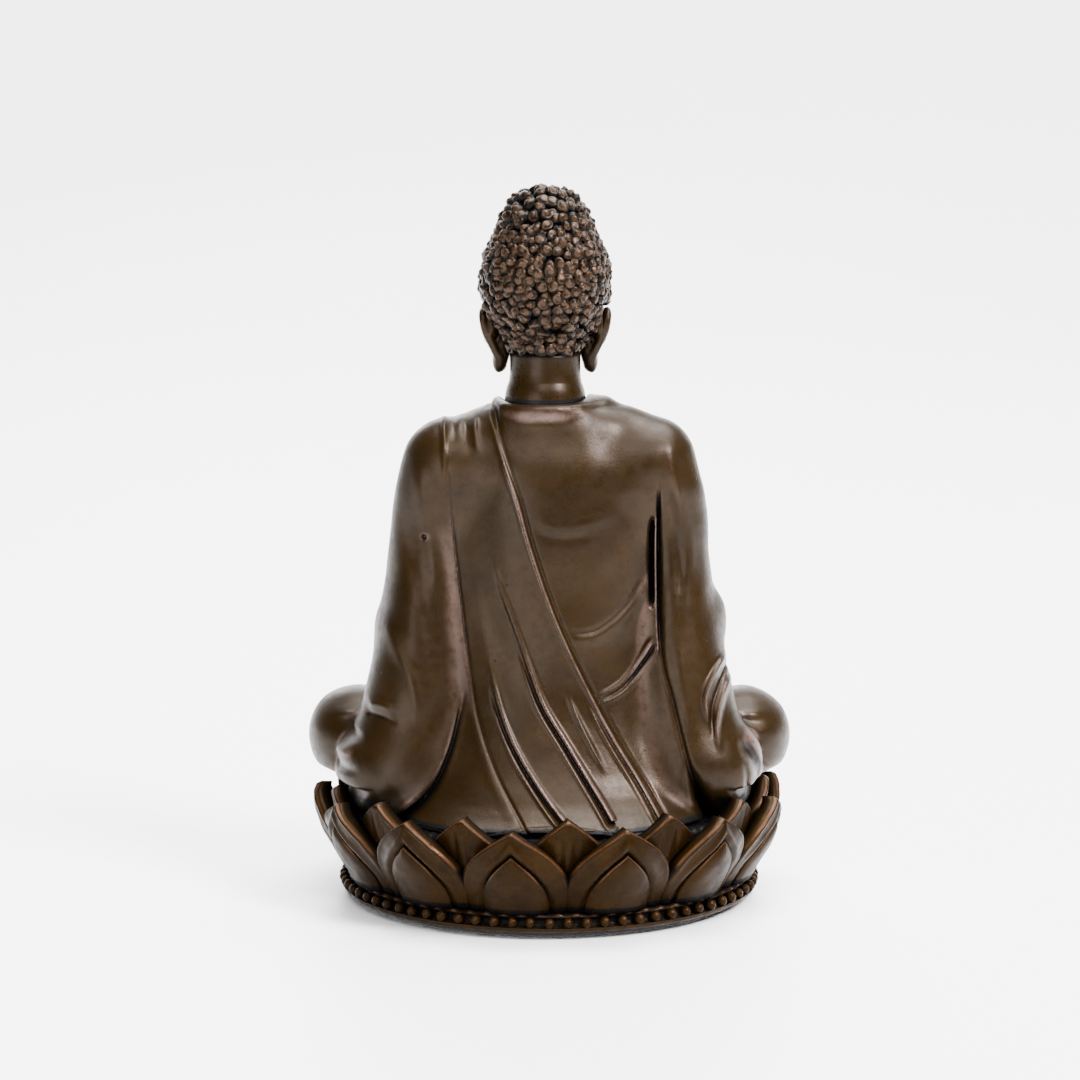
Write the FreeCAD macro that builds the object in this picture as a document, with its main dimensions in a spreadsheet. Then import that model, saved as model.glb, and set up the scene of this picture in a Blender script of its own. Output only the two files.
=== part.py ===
"""Seated Buddha statuette on a lotus base, 85 mm tall, as separate castings.

Millimetres. +Z is up, the figure faces -Y and its left side is +X. The origin is the centre of
the flat underside, where the felt pad rests.
"""

import FreeCAD, Part

import math
import os

from FreeCAD import Placement, Rotation, Vector

doc = FreeCAD.newDocument("buddha_statue")

# ---------------------------------------------------------------- driving dimensions
DIMS = {
    # felt, foot rim and bead row
    "felt_radius": (23.4, "felt pad radius"),
    "felt_thick": (0.8, "felt pad thickness"),
    "rim_radius": (24.6, "foot rim outer radius"),
    "rim_bore": (19.6, "foot rim inner radius"),
    "rim_top": (2.9, "foot rim top height"),
    "bead_radius": (0.62, "bead radius"),
    "bead_ring": (24.5, "bead row pitch radius"),
    "bead_height": (2.05, "bead row centre height"),
    "bead_count": (72, "beads in the row"),
    # lotus
    "seat_height": (11.2, "top of the lotus core, where the figure sits"),
    "core_base": (20.4, "lotus core radius at the rim"),
    "core_top": (24.6, "lotus core radius at the seat"),
    "petal_count": (13, "petals in each row"),
    "petal_foot": (2.9, "height of the petals' feet"),
    "petal_thick": (1.4, "radial thickness of a petal"),
    "petal_flare": (1.1, "outward bow of a petal at half height"),
    "outer_tip": (13.3, "height of the outer petals' tips"),
    "inner_tip": (14.2, "height of the inner petals' tips"),
    "leaf_tip": (10.5, "height of the raised leaves' tips"),
    "leaf_thick": (0.8, "radial thickness of a raised leaf"),
    "leaf_width": (7.8, "raised leaf width at its foot"),
    # figure heights
    "waist_height": (24.0, "top of the robe skirt, where the torso starts"),
    "collar_height": (58.6, "top of the torso at the neck"),
    "body_y": (3.8, "how far the body's axis lies behind the origin"),
    # joints between castings
    "fit_gap": (0.05, "radial clearance of every spigot in its socket"),
    "seat_spigot": (6.0, "radius of the spigot under the figure"),
    "waist_spigot": (5.0, "radius of the spigot under the torso"),
    "neck_spigot": (3.0, "radius of the spigot under the neck"),
    "arm_peg": (1.5, "radius of the peg behind each sleeve"),
    "wrist_peg": (1.1, "radius of the peg behind each hand"),
    "spigot_depth": (3.0, "depth of the spigots"),
    # robe layers and legs
    "robe_layer": (0.8, "thickness of the outer robe over the torso"),
    "hip_radius": (6.6, "thigh radius at the hip"),
    "knee_radius": (5.4, "knee radius under the robe"),
    "ankle_radius": (3.4, "shin radius at the ankle"),
    "knee_x": (23.1, "knee centre, sideways"),
    "knee_y": (-5.0, "knee centre, forward"),
    "knee_z": (18.1, "knee centre, height"),
    # head
    "head_x": (0.5, "how far the head's axis lies to the figure's left"),
    "head_y": (2.4, "head centre, behind the origin"),
    "head_z": (74.2, "head centre height"),
    "skull_width": (7.3, "half width of the skull under the curls"),
    "skull_depth": (7.7, "half depth of the skull under the curls"),
    "skull_height": (8.0, "half height of the skull under the curls"),
    "topknot_radius": (3.3, "radius of the rise on the crown"),
    "curl_radius": (0.58, "radius of one curl"),
    "curl_count": (400, "curls that would cover the whole skull"),
    "neck_radius": (4.1, "neck radius at its narrowest"),
}

sheet = doc.addObject("Spreadsheet::Sheet", "dims")
for row, (alias, (value, note)) in enumerate(DIMS.items(), start=1):
    sheet.set(f"A{row}", note)
    sheet.set(f"B{row}", str(value))
    sheet.setAlias(f"B{row}", alias)
doc.recompute()


def dim(alias):
    """The value of a driving dimension, read from the sheet."""
    return float(getattr(sheet, alias))


# ---------------------------------------------------------------- small builders
def bind(obj, **expressions):
    """Ties properties of obj to expressions; px, py and pz are its placement."""
    for name, expression in expressions.items():
        path = {"px": ".Placement.Base.x", "py": ".Placement.Base.y", "pz": ".Placement.Base.z"}
        obj.setExpression(path.get(name, name), str(expression))
    return obj


def primitive(kind, name, turn=None, **expressions):
    """A Part primitive with its sizes and place tied to the sheet."""
    obj = doc.addObject("Part::" + kind, name)
    if turn is not None:
        obj.Placement = Placement(Vector(), turn)
    return bind(obj, **expressions)


def ellipse(name, half_x, half_y, px, py, pz):
    """A horizontal ellipse. Its seam lies on the longer axis."""
    deep = value_of(half_y) > value_of(half_x)
    longer, shorter = (half_y, half_x) if deep else (half_x, half_y)
    turn = Rotation(Vector(0, 0, 1), 90) if deep else None
    return primitive(
        "Ellipse", name, turn, MajorRadius=longer, MinorRadius=shorter, px=px, py=py, pz=pz
    )


def value_of(expression):
    """An expression of the sheet worked out in plain Python."""
    text = str(expression)
    for alias in sorted(DIMS, key=len, reverse=True):
        text = text.replace("dims." + alias, repr(dim(alias)))
    left, *rest = text.replace(" ", "").replace("+", " +").replace("-", " -").split()
    return float(left) + sum(float(term) for term in rest)


def loft(name, stations, grow="0"):
    """A solid through horizontal ellipses, each (half_x, half_y, x, y, z), grown by grow."""
    rings = [
        ellipse(f"{name}_ring{i}", f"{a} + {grow}", f"{b} + {grow}", x, y, z)
        for i, (a, b, x, y, z) in enumerate(stations)
    ]
    obj = doc.addObject("Part::Loft", name)
    obj.Sections = rings
    obj.Solid = True
    return obj


def combine(kind, name, shapes):
    """Part::MultiFuse or Part::MultiCommon of several objects."""
    obj = doc.addObject("Part::" + kind, name)
    obj.Shapes = shapes
    return obj


def cut(name, base, *tools):
    """base less every tool."""
    for i, tool in enumerate(tools):
        obj = doc.addObject("Part::Cut", name if i == len(tools) - 1 else f"{name}_less{i}")
        obj.Base, obj.Tool = base, tool
        base = obj
    return base


def moulded(label, base, tools, added, sockets=()):
    """The largest solid of base less every tool, plus every added shape, less the sockets."""
    doc.recompute()
    shape = base.Shape
    for tool in tools:
        shape = max(shape.cut(tool.Shape).Solids, key=lambda solid: solid.Volume)
    for extra in added:
        shape = max(shape.fuse(extra.Shape).Solids, key=lambda solid: solid.Volume)
    for tool in sockets:
        shape = max(shape.cut(tool.Shape).Solids, key=lambda solid: solid.Volume)
    obj = doc.addObject("Part::Feature", label)
    obj.Shape = shape
    return keep(obj, label)


def cylinder(name, radius, height, px=0, py=0, pz=0, turn=None):
    return primitive("Cylinder", name, turn, Radius=radius, Height=height, px=px, py=py, pz=pz)


def sphere(name, radius, px, py, pz):
    return primitive("Sphere", name, Radius=radius, px=px, py=py, pz=pz)


def ellipsoid(name, half_x, half_y, half_z, px, py, pz, turn=None):
    return primitive(
        "Ellipsoid", name, turn, Radius1=half_z, Radius2=half_x, Radius3=half_y, px=px, py=py, pz=pz
    )


def limb(name, start, end, start_radius, end_radius):
    """A tapered, round-ended limb between two points: two spheres and the cone tangent to both."""
    start, end = Vector(*start), Vector(*end)
    along = end - start
    lean = (start_radius - end_radius) / along.Length
    flank = math.sqrt(1 - lean * lean)
    axis = Vector(along).normalize()
    cone = Part.makeCone(
        start_radius * flank,
        end_radius * flank,
        along.Length - (start_radius - end_radius) * lean,
        start + axis * (start_radius * lean),
        axis,
    )
    ends = [Part.makeSphere(start_radius, start), Part.makeSphere(end_radius, end)]
    obj = doc.addObject("Part::Feature", name)
    obj.Shape = cone.fuse(ends)
    return obj


kept = []


def keep(obj, label):
    """Marks obj as a sub-part under its own label."""
    obj.Label = label
    kept.append(obj)
    return obj


# ---------------------------------------------------------------- felt, rim, beads, core
def sketch_on(body, name, plane):
    sketch = body.newObject("Sketcher::SketchObject", name)
    origin_plane = next(f for f in body.Origin.OriginFeatures if f.Role == plane)
    sketch.AttachmentSupport = [(origin_plane, "")]
    sketch.MapMode = "FlatFace"
    return sketch


def polygon(sketch, corners):
    """A closed polygon. Each corner is (x expression, y expression), held by two constraints."""
    from Sketcher import Constraint

    points = [Vector(value_of(x), value_of(y), 0) for x, y in corners]
    for a, b in zip(points, points[1:] + points[:1]):
        sketch.addGeometry(Part.LineSegment(a, b), False)
    count = len(points)
    for i in range(count):
        sketch.addConstraint(Constraint("Coincident", i, 2, (i + 1) % count, 1))
    for i, (x, y) in enumerate(corners):
        for kind, expression, size in (("DistanceX", x, points[i].x), ("DistanceY", y, points[i].y)):
            index = sketch.addConstraint(Constraint(kind, -1, 1, i, 1, size))
            sketch.setExpression(f"Constraints[{index}]", expression)


def revolved(label, corners):
    """A body turned about Z from a polygon of (radius, height) corners."""
    body = doc.addObject("PartDesign::Body", label)
    profile = sketch_on(body, label + "_profile", "XZ_Plane")
    polygon(profile, corners)
    turn = body.newObject("PartDesign::Revolution", label + "_turn")
    turn.Profile = profile
    turn.ReferenceAxis = (profile, ["V_Axis"])
    turn.Angle = 360
    doc.recompute()
    return body


def make_felt_pad():
    from Sketcher import Constraint

    body = doc.addObject("PartDesign::Body", "felt_pad")
    outline = sketch_on(body, "felt_outline", "XY_Plane")
    outline.addGeometry(Part.Circle(Vector(), Vector(0, 0, 1), dim("felt_radius")), False)
    outline.addConstraint(Constraint("Coincident", 0, 3, -1, 1))
    index = outline.addConstraint(Constraint("Radius", 0, dim("felt_radius")))
    outline.setExpression(f"Constraints[{index}]", "dims.felt_radius")
    pad = body.newObject("PartDesign::Pad", "felt_thickness")
    pad.Profile = outline
    pad.setExpression("Length", "dims.felt_thick")
    return keep(body, "felt_pad")


def make_foot_rim():
    """A flat ring with a round channel near its top edge, where the beads lie."""
    ring = revolved(
        "rim_blank",
        [
            ("dims.rim_bore", "dims.felt_thick"),
            ("dims.rim_radius", "dims.felt_thick"),
            ("dims.rim_radius", "dims.bead_height - 0.5"),
            ("dims.rim_radius - 1.1", "dims.rim_top"),
            ("dims.rim_bore", "dims.rim_top"),
        ],
    )
    channel = primitive(
        "Torus", "bead_channel", Radius1="dims.bead_ring", Radius2="dims.bead_radius + 0.03",
        pz="dims.bead_height",
    )
    return keep(cut("foot_rim", ring, channel), "foot_rim")


def make_bead_row():
    body = doc.addObject("PartDesign::Body", "bead_row")
    bead = body.newObject("PartDesign::AdditiveSphere", "bead")
    bead.Placement = Placement(Vector(dim("bead_ring"), 0, dim("bead_height")), Rotation())
    bind(bead, Radius="dims.bead_radius", px="dims.bead_ring", pz="dims.bead_height")
    doc.recompute()
    row = body.newObject("PartDesign::PolarPattern", "row")
    row.Originals = [bead]
    row.Axis = (next(f for f in body.Origin.OriginFeatures if f.Role == "Z_Axis"), [""])
    row.Angle = 360
    row.setExpression("Occurrences", "dims.bead_count")
    body.Tip = row
    return keep(body, "bead_row")


def make_lotus_core():
    """The drum inside the petals, with a low foot inside the rim and a socket in its seat."""
    drum = revolved(
        "core_drum",
        [
            ("0", "dims.felt_thick"),
            ("dims.rim_bore", "dims.felt_thick"),
            ("dims.rim_bore", "dims.rim_top"),
            ("dims.core_base", "dims.rim_top"),
            ("dims.core_top", "dims.seat_height"),
            ("0", "dims.seat_height"),
        ],
    )
    socket = cylinder(
        "seat_socket", "dims.seat_spigot + dims.fit_gap", "dims.spigot_depth + 0.2",
        pz="dims.seat_height - dims.spigot_depth - 0.2",
    )
    return keep(cut("lotus_core", drum, socket), "lotus_core")


# ---------------------------------------------------------------- lotus petals
def petal_band(inner_offset, thick, tip):
    """The ring of material that a row of petals is cut from, as a face in the XZ plane.

    Its inner side follows the core's slope, carried on above the seat, and bows outward."""
    slope = (dim("core_top") - dim("core_base")) / (dim("seat_height") - dim("rim_top"))
    foot = dim("petal_foot")
    middle = (foot + tip) / 2

    def radius(height, bow):
        return dim("core_base") + slope * (height - dim("rim_top")) + inner_offset + bow

    inner = [Vector(radius(z, b), 0, z) for z, b in ((foot, 0), (middle, bow_at(inner_offset)), (tip, 0))]
    outer = [
        Vector(radius(z, b) + thick, 0, z)
        for z, b in ((tip, 0), (middle, bow_at(inner_offset + thick)), (foot, 0))
    ]
    edges = [
        Part.Arc(*inner).toShape(),
        Part.LineSegment(inner[2], outer[0]).toShape(),
        Part.Arc(*outer).toShape(),
        Part.LineSegment(outer[2], inner[0]).toShape(),
    ]
    return Part.Face(Part.Wire(edges))


def bow_at(offset):
    """Petals further out bow more; against the core they lie almost straight."""
    return 0.04 + dim("petal_flare") * offset / (2 * dim("petal_thick"))


def ogee(half_width, foot, tip, belly):
    """A pointed arch in the YZ plane: full width up to the belly height, then two curves to the tip."""
    shoulder = (belly + tip) / 2
    corners = {side: Vector(0, side * half_width, belly) for side in (-1, 1)}
    point = Vector(0, 0, tip)
    sides = []
    for side in (1, -1):
        middle = Vector(0, side * half_width * 0.62, shoulder + 0.12 * (tip - belly))
        sides.append(Part.Arc(corners[side], middle, point).toShape())
    feet = {side: Vector(0, side * half_width * 0.86, foot) for side in (-1, 1)}
    edges = [
        Part.LineSegment(feet[-1], feet[1]).toShape(),
        Part.LineSegment(feet[1], corners[1]).toShape(),
        sides[0],
        sides[1],
        Part.LineSegment(corners[-1], feet[-1]).toShape(),
    ]
    return Part.Face(Part.Wire(Part.__sortEdges__(edges)))


def petal_row(label, first_angle, inner_offset, thick, tip, width, belly):
    """One row of equal petals, each the common of a turned band and an ogee outline."""
    count = int(dim("petal_count"))
    pitch = 360.0 / count
    gap = 0.5
    band = petal_band(inner_offset, thick, tip)
    band.rotate(Vector(), Vector(0, 0, 1), -(pitch - gap) / 2)
    solid = band.revolve(Vector(), Vector(0, 0, 1), pitch - gap)
    outline = ogee(width / 2, dim("petal_foot"), tip, belly)
    reach = dim("core_top") + 10
    petal = solid.common(outline.extrude(Vector(reach, 0, 0)))
    turned = []
    for i in range(count):
        one = petal.copy()
        one.rotate(Vector(), Vector(0, 0, 1), first_angle + i * pitch)
        turned.extend(one.Solids)
    obj = doc.addObject("Part::Feature", label)
    obj.Shape = Part.makeCompound(turned)
    return keep(obj, label)


def make_petals():
    pitch = 360.0 / dim("petal_count")
    thick = dim("petal_thick")
    back = 90 - 9.0
    petal_row("inner_petals", back + pitch / 2, 0.0, thick, dim("inner_tip"), 9.6, 8.5)
    petal_row("outer_petals", back, thick, thick, dim("outer_tip"), 12.6, 8.2)
    petal_row(
        "petal_leaves", back, 2 * thick, dim("leaf_thick"), dim("leaf_tip"), dim("leaf_width"), 5.0
    )


# ---------------------------------------------------------------- figure
def torso_stations():
    """(half_x, half_y, x, y, z) of the robed torso from the waist to the collar."""
    y = "dims.body_y"
    return [
        ("13.6", "9.4", "0", f"{y} + 0.4", "dims.waist_height"),
        ("12.4", "8.4", "0", f"{y} + 0.2", "dims.waist_height + 8"),
        ("12.6", "8.0", "0", y, "dims.waist_height + 18"),
        ("13.6", "7.6", "0", f"{y} - 0.2", "dims.waist_height + 26"),
        ("12.6", "6.6", "0", f"{y} - 0.4", "dims.waist_height + 31"),
        ("6.4", "5.2", "0", f"{y} - 0.4", "dims.collar_height"),
    ]


def skirt_stations():
    """The robe from the seat up to the waist."""
    y = "dims.body_y"
    return [
        ("18.6", "15.6", "0", f"{y} - 0.4", "dims.seat_height"),
        ("17.6", "14.0", "0", y, "dims.seat_height + 5"),
        ("14.6", "10.4", "0", f"{y} + 0.4", "dims.waist_height"),
    ]


def sleeve_stations(side):
    """The hanging sleeve, from the shoulder to its hem on the lotus."""
    return [
        ("1.6", "2.4", f"{side * 11.8}", "dims.body_y - 0.2", "dims.collar_height - 1.3"),
        ("2.9", "4.2", f"{side * 13.6}", "dims.body_y", "dims.collar_height - 4.2"),
        ("3.4", "4.8", f"{side * 14.4}", "dims.body_y", "dims.collar_height - 8"),
        ("3.5", "4.9", f"{side * 15.3}", "dims.body_y - 0.8", "dims.collar_height - 18"),
        ("4.0", "5.6", f"{side * 16.0}", "dims.body_y - 1.8", "dims.waist_height + 8"),
        ("4.6", "6.6", f"{side * 16.6}", "dims.body_y - 0.8", "dims.waist_height"),
        ("5.2", "7.2", f"{side * 17.6}", "dims.body_y + 1.2", "dims.seat_height + 1"),
    ]


def make_figure():
    y = "dims.body_y"
    # Torso: waist spigot below, neck socket and two peg holes.
    torso_body = loft("torso_body", torso_stations())
    torso_spigot = cylinder(
        "torso_spigot", "dims.waist_spigot", "dims.spigot_depth + 0.5", py=y,
        pz="dims.waist_height - dims.spigot_depth",
    )
    neck_socket = cylinder(
        "neck_socket", "dims.neck_spigot + dims.fit_gap", "dims.spigot_depth + 5", px="dims.head_x",
        py=f"{y} - 0.4", pz="dims.collar_height - dims.spigot_depth - 1.2",
    )
    across = Rotation(Vector(0, 1, 0), 90)
    peg_height = "dims.collar_height - 9"
    peg_hole = cylinder(
        "peg_hole", "dims.arm_peg + dims.fit_gap", "40", "-20", y, peg_height, across
    )
    torso_solid = combine("MultiFuse", "torso_solid", [torso_body, torso_spigot])
    core_plug = cylinder("peg_stop", "dims.arm_peg + 1", "19", "-9.5", y, peg_height, across)
    peg_holes = cut("peg_holes", peg_hole, core_plug)
    torso = keep(cut("torso", torso_solid, neck_socket, peg_holes), "torso")

    # Skirt: seat spigot below, waist socket above.
    skirt_body = loft("skirt_body", skirt_stations())
    skirt_spigot = cylinder(
        "skirt_spigot", "dims.seat_spigot", "dims.spigot_depth + 0.5",
        pz="dims.seat_height - dims.spigot_depth",
    )
    waist_socket = cylinder(
        "waist_socket", "dims.waist_spigot + dims.fit_gap", "dims.spigot_depth + 5", py=y,
        pz="dims.waist_height - dims.spigot_depth - 0.2",
    )
    skirt_solid = combine("MultiFuse", "skirt_solid", [skirt_body, skirt_spigot])
    torso_whole = loft("torso_whole", torso_stations())
    skirt_whole = loft("skirt_whole", skirt_stations())

    # Outer robe: a layer over the torso's left side, edged by a slanting line across the back.
    grown = loft("robe_grown", torso_stations(), "dims.robe_layer")
    left_of_line = primitive(
        "Box", "left_of_line", Rotation(Vector(0, 1, 0), 24), Length="40", Width="60",
        Height="80", px="-12.4 - 3", py="-30", pz="dims.seat_height",
    )
    over_shoulder = combine("MultiCommon", "robe_side", [grown, left_of_line])
    keep(cut("outer_robe", over_shoulder, torso_whole, peg_holes), "outer_robe")
    robe_room = loft("robe_room", torso_stations(), "dims.robe_layer + 0.02")

    # Legs: thigh and shin of each side, crossed in front.
    knee = Vector(dim("knee_x"), dim("knee_y"), dim("knee_z"))
    legs = {}
    for side, name in ((1, "left"), (-1, "right")):
        knee_at = (side * knee.x, knee.y, knee.z)
        thigh = limb(
            f"{name}_thigh", (side * 9.0, 1.0, 17.2), knee_at, dim("hip_radius"), dim("knee_radius")
        )
        ankle_at = (side * 1.8, -15.6, 15.9 + 0.6 * side)
        shin = limb(
            f"{name}_shin", knee_at, ankle_at, dim("knee_radius") - 0.3, dim("ankle_radius")
        )
        legs[side] = combine("MultiFuse", f"{name}_leg_solid", [thigh, shin])
    lap_blank = ellipsoid("lap_blank", "17", "9.5", "6.6", "0", "-4.6", "dims.seat_height + 2")
    above_seat = primitive(
        "Box", "above_seat", Length="60", Width="60", Height="20", px="-30", py="-30",
        pz="dims.seat_height",
    )
    lap = combine("MultiCommon", "lap", [lap_blank, above_seat])
    moulded("robe_skirt", lap, [legs[1], legs[-1]], [skirt_solid], [waist_socket])
    half = {
        side: primitive(
            "Box", f"half_{side + 1}", Length="60", Width="80", Height="80",
            px="0.02" if side > 0 else "-60.02", py="-40", pz="dims.seat_height",
        )
        for side in (1, -1)
    }
    for side, name in ((1, "left"), (-1, "right")):
        own_half = combine("MultiCommon", f"{name}_leg_half", [legs[side], half[side]])
        keep(cut(f"{name}_leg", own_half, skirt_whole), f"{name}_leg")

    # Sleeves: a hanging loft and a forearm that reaches into the lap, with a peg at the shoulder.
    sleeve, forearms = {}, {}
    for side, name in ((1, "left"), (-1, "right")):
        hanging = loft(f"{name}_hanging", sleeve_stations(side))
        wrist = (side * 6.4, -9.4, 24.6 if side < 0 else 22.7)
        forearm = limb(f"{name}_forearm", (side * 16.8, 0.6, 30.0), wrist, 4.2, 2.9)
        peg = cylinder(
            f"{name}_peg", "dims.arm_peg", "5.2", f"{9.6 if side > 0 else -14.8}", y, peg_height, across
        )
        whole = combine("MultiFuse", f"{name}_sleeve_solid", [hanging, forearm])
        inner = robe_room if side > 0 else torso_whole
        reach = Vector(*wrist) - Vector(side * 16.8, 0.6, 30.0)
        reach.normalize()
        socket = doc.addObject("Part::Feature", f"{name}_wrist_socket")
        socket.Shape = Part.makeCylinder(
            dim("wrist_peg") + dim("fit_gap"), 8, Vector(*wrist) + reach * 0.4, reach
        )
        moulded(f"{name}_sleeve", whole, [inner, skirt_whole, legs[side], socket], [peg])
        sleeve[side], forearms[side] = (wrist, reach), forearm

    make_hands(sleeve, forearms)
    make_feet(legs, skirt_whole)
    make_head()


def palm_slab(name, length, thick, px, pz, turn):
    """A flat palm with rounded corners, centred at a height over the lap."""
    blank = Part.makeBox(length, 7.6, thick, Vector(-length / 2, -3.8, -thick / 2))
    upright = [e for e in blank.Edges if abs(e.tangentAt(e.FirstParameter).z) > 0.9]
    rounded = blank.makeFillet(3.4, upright)
    rims = [e for e in rounded.Edges if abs(e.tangentAt(e.FirstParameter).z) < 0.1]
    palm = doc.addObject("Part::Feature", name)
    palm.Shape = rounded.makeFillet(thick * 0.42, rims)
    palm.Placement = Placement(Vector(px, -11.6, pz), Rotation(Vector(0, 0, 1), turn))
    return palm


def make_hands(sleeve, forearms):
    """Two hands laid one on the other in the lap, palms up, each with a wrist peg."""
    palms = {
        -1: palm_slab("right_palm", 12.2, 2.3, -1.3, 23.95, -6),
        1: palm_slab("left_palm", 11.0, 1.9, 1.9, 21.7, 6),
    }
    for side, name in ((-1, "right"), (1, "left")):
        wrist, reach = sleeve[side]
        peg = doc.addObject("Part::Feature", f"{name}_wrist_peg")
        peg.Shape = Part.makeCylinder(dim("wrist_peg"), 3.6, Vector(*wrist) + reach * 0.6, reach)
        moulded(f"{name}_hand", palms[side], [forearms[1], forearms[-1]], [peg])


def make_feet(legs, skirt):
    """Soles turned up, each lying on the opposite thigh."""
    for side, name in ((1, "left"), (-1, "right")):
        sole = ellipsoid(
            f"{name}_sole", "5.4", "2.3", "1.7", f"{-side * 12.0}", "-10.4", "22.6",
            Rotation(Vector(0, 0, 1), -side * 14),
        )
        hand_room = primitive(
            "Box", f"{name}_hand_room", Length="17", Width="16", Height="14", px="-8.5", py="-20",
            pz="17",
        )
        cuff = limb(f"{name}_cuff_room", (-side * 16.8, 0.6, 30.0), (-side * 6.4, -9.4, 24.6), 4.2, 2.9)
        keep(
            cut(f"{name}_foot", sole, legs[1], legs[-1], skirt, hand_room, cuff), f"{name}_foot"
        )


def make_head():
    x, y, z = "dims.head_x", "dims.head_y", "dims.head_z"
    skull = ellipsoid("skull", "dims.skull_width", "dims.skull_depth", "dims.skull_height", x, y, z)
    jaw = ellipsoid("jaw", "5.5", "5.6", "6.2", x, f"{y} - 1.4", f"{z} - 4.2")
    crown = sphere("crown", "dims.topknot_radius", x, f"{y} + 0.6", f"{z} + 6.8")
    neck = primitive(
        "Cone", "neck", Radius1="dims.neck_radius + 0.8", Radius2="dims.neck_radius",
        Height="dims.head_z - dims.collar_height - 5", px=x, py="dims.body_y - 0.4",
        pz="dims.collar_height",
    )
    spigot = cylinder(
        "neck_spigot", "dims.neck_spigot", "dims.spigot_depth + 3", x, "dims.body_y - 0.4",
        "dims.collar_height - dims.spigot_depth - 1",
    )
    nose = ellipsoid("nose", "0.9", "1.1", "1.8", x, f"{y} - 7.1", f"{z} - 4.0")
    head = keep(combine("MultiFuse", "head", [skull, jaw, crown, neck, spigot, nose]), "head")
    doc.recompute()
    for side, name in ((1, "left"), (-1, "right")):
        ear = ellipsoid(
            f"{name}_ear_blank", "1.1", "1.7", "3.9", f"{x} + {side * 6.9}", f"{y} - 0.4", f"{z} - 7.4",
            Rotation(Vector(0, 1, 0), -side * 3),
        )
        keep(cut(f"{name}_ear", ear, head), f"{name}_ear")
    doc.recompute()
    make_curls()


def hairline(direction):
    """How far above the head's centre the hair starts, as a sine, for a horizontal direction."""
    forward = -direction.y
    return 0.10 + 0.42 * max(0.0, forward) ** 1.5 if forward > 0.25 else -0.86 + 0.70 * max(0.0, forward + 0.65)


def spiral(count):
    """Directions spread evenly over a sphere along a golden spiral, from the top down."""
    golden = math.pi * (3 - math.sqrt(5))
    for i in range(count):
        up = 1 - 2 * (i + 0.5) / count
        flat = math.sqrt(1 - up * up)
        yield Vector(flat * math.cos(i * golden), flat * math.sin(i * golden), up)


def curl_seats():
    """Where the curls sit, which way they face, and whether they are on the crown's rise."""
    half = Vector(dim("skull_width"), dim("skull_depth"), dim("skull_height"))
    centre = Vector(dim("head_x"), dim("head_y"), dim("head_z"))
    crown = centre + Vector(0, 0.6, 6.8)
    crown_radius = dim("topknot_radius")
    spread = (crown_radius / half.z) ** 2
    for out in spiral(int(dim("curl_count") * spread)):
        if out.z > 0.1:
            yield crown + out * crown_radius, out, True
    for out in spiral(int(dim("curl_count"))):
        flat = Vector(out.x, out.y, 0).normalize()
        if out.z < hairline(flat):
            continue
        normal = Vector(out.x / half.x, out.y / half.y, out.z / half.z).normalize()
        seat = centre + Vector(half.x * out.x, half.y * out.y, half.z * out.z)
        yield seat, normal, False


def inside(point, centre, half, margin):
    """Whether a point lies in an ellipsoid that is grown by a margin."""
    away = point - centre
    return sum((a / (h + margin)) ** 2 for a, h in zip(away, half)) < 1


def make_curls():
    """Half-round curls lying on the scalp, as one compound of separate solids."""
    radius = dim("curl_radius")
    head = Vector(dim("head_x"), dim("head_y"), dim("head_z"))
    half = (dim("skull_width"), dim("skull_depth"), dim("skull_height"))
    crown = head + Vector(0, 0.6, 6.8)
    round_crown = (dim("topknot_radius"),) * 3
    others = [
        (head + Vector(side * 6.9, -0.4, -7.4), (1.1, 1.7, 3.9)) for side in (1, -1)
    ] + [(head + Vector(0, -1.4, -4.2), (5.5, 5.6, 6.2))]
    taken = []
    curls = []
    for seat, out, on_crown in curl_seats():
        blocked = (
            inside(seat, head, half, radius)
            if on_crown
            else inside(seat, crown, round_crown, radius)
        )
        blocked = blocked or any(inside(seat, at, size, radius + 0.1) for at, size in others)
        crowded = any((seat - other).Length < 2 * radius + 0.02 for other in taken)
        if blocked or crowded:
            continue
        taken.append(seat)
        curls.append(Part.makeSphere(radius, seat + out * 0.01, out, 0, 90, 360))
    obj = doc.addObject("Part::Feature", "hair_curls")
    obj.Shape = Part.makeCompound(curls)
    return keep(obj, "hair_curls")


# ---------------------------------------------------------------- build and export
def check_and_export():
    doc.recompute()
    failed = [(o.Name, o.getStatusString()) for o in doc.Objects if {"Invalid", "Error"} & set(o.State)]
    if failed:
        raise SystemExit(f"failed objects: {failed}")
    os.makedirs("parts", exist_ok=True)
    for obj in kept:
        shape = obj.Shape
        if shape.isNull() or not shape.isValid() or not shape.Solids:
            raise SystemExit(
                f"{obj.Label} is null, invalid or empty: {shape.isNull()} {shape.isValid()}"
                f" {len(shape.Solids)}"
            )
        shape.exportStep(os.path.join("parts", obj.Label + ".step"))
        box = shape.BoundBox
        print(
            f"{obj.Label:14s} solids {len(shape.Solids):3d} volume {shape.Volume:9.1f}"
            f"  x {box.XMin:6.1f} {box.XMax:6.1f}  y {box.YMin:6.1f} {box.YMax:6.1f}"
            f"  z {box.ZMin:6.1f} {box.ZMax:6.1f}"
        )


make_felt_pad()
make_foot_rim()
make_bead_row()
make_lotus_core()
make_petals()
make_figure()
check_and_export()
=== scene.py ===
"""Looks of the seated Buddha statuette: sculpted pieces that stand for the CAD nodes.

Lengths are millimetres until a mesh is made, which is in metres. The figure faces -Y and its
left side is +X, as in the CAD.
"""

import math

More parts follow.
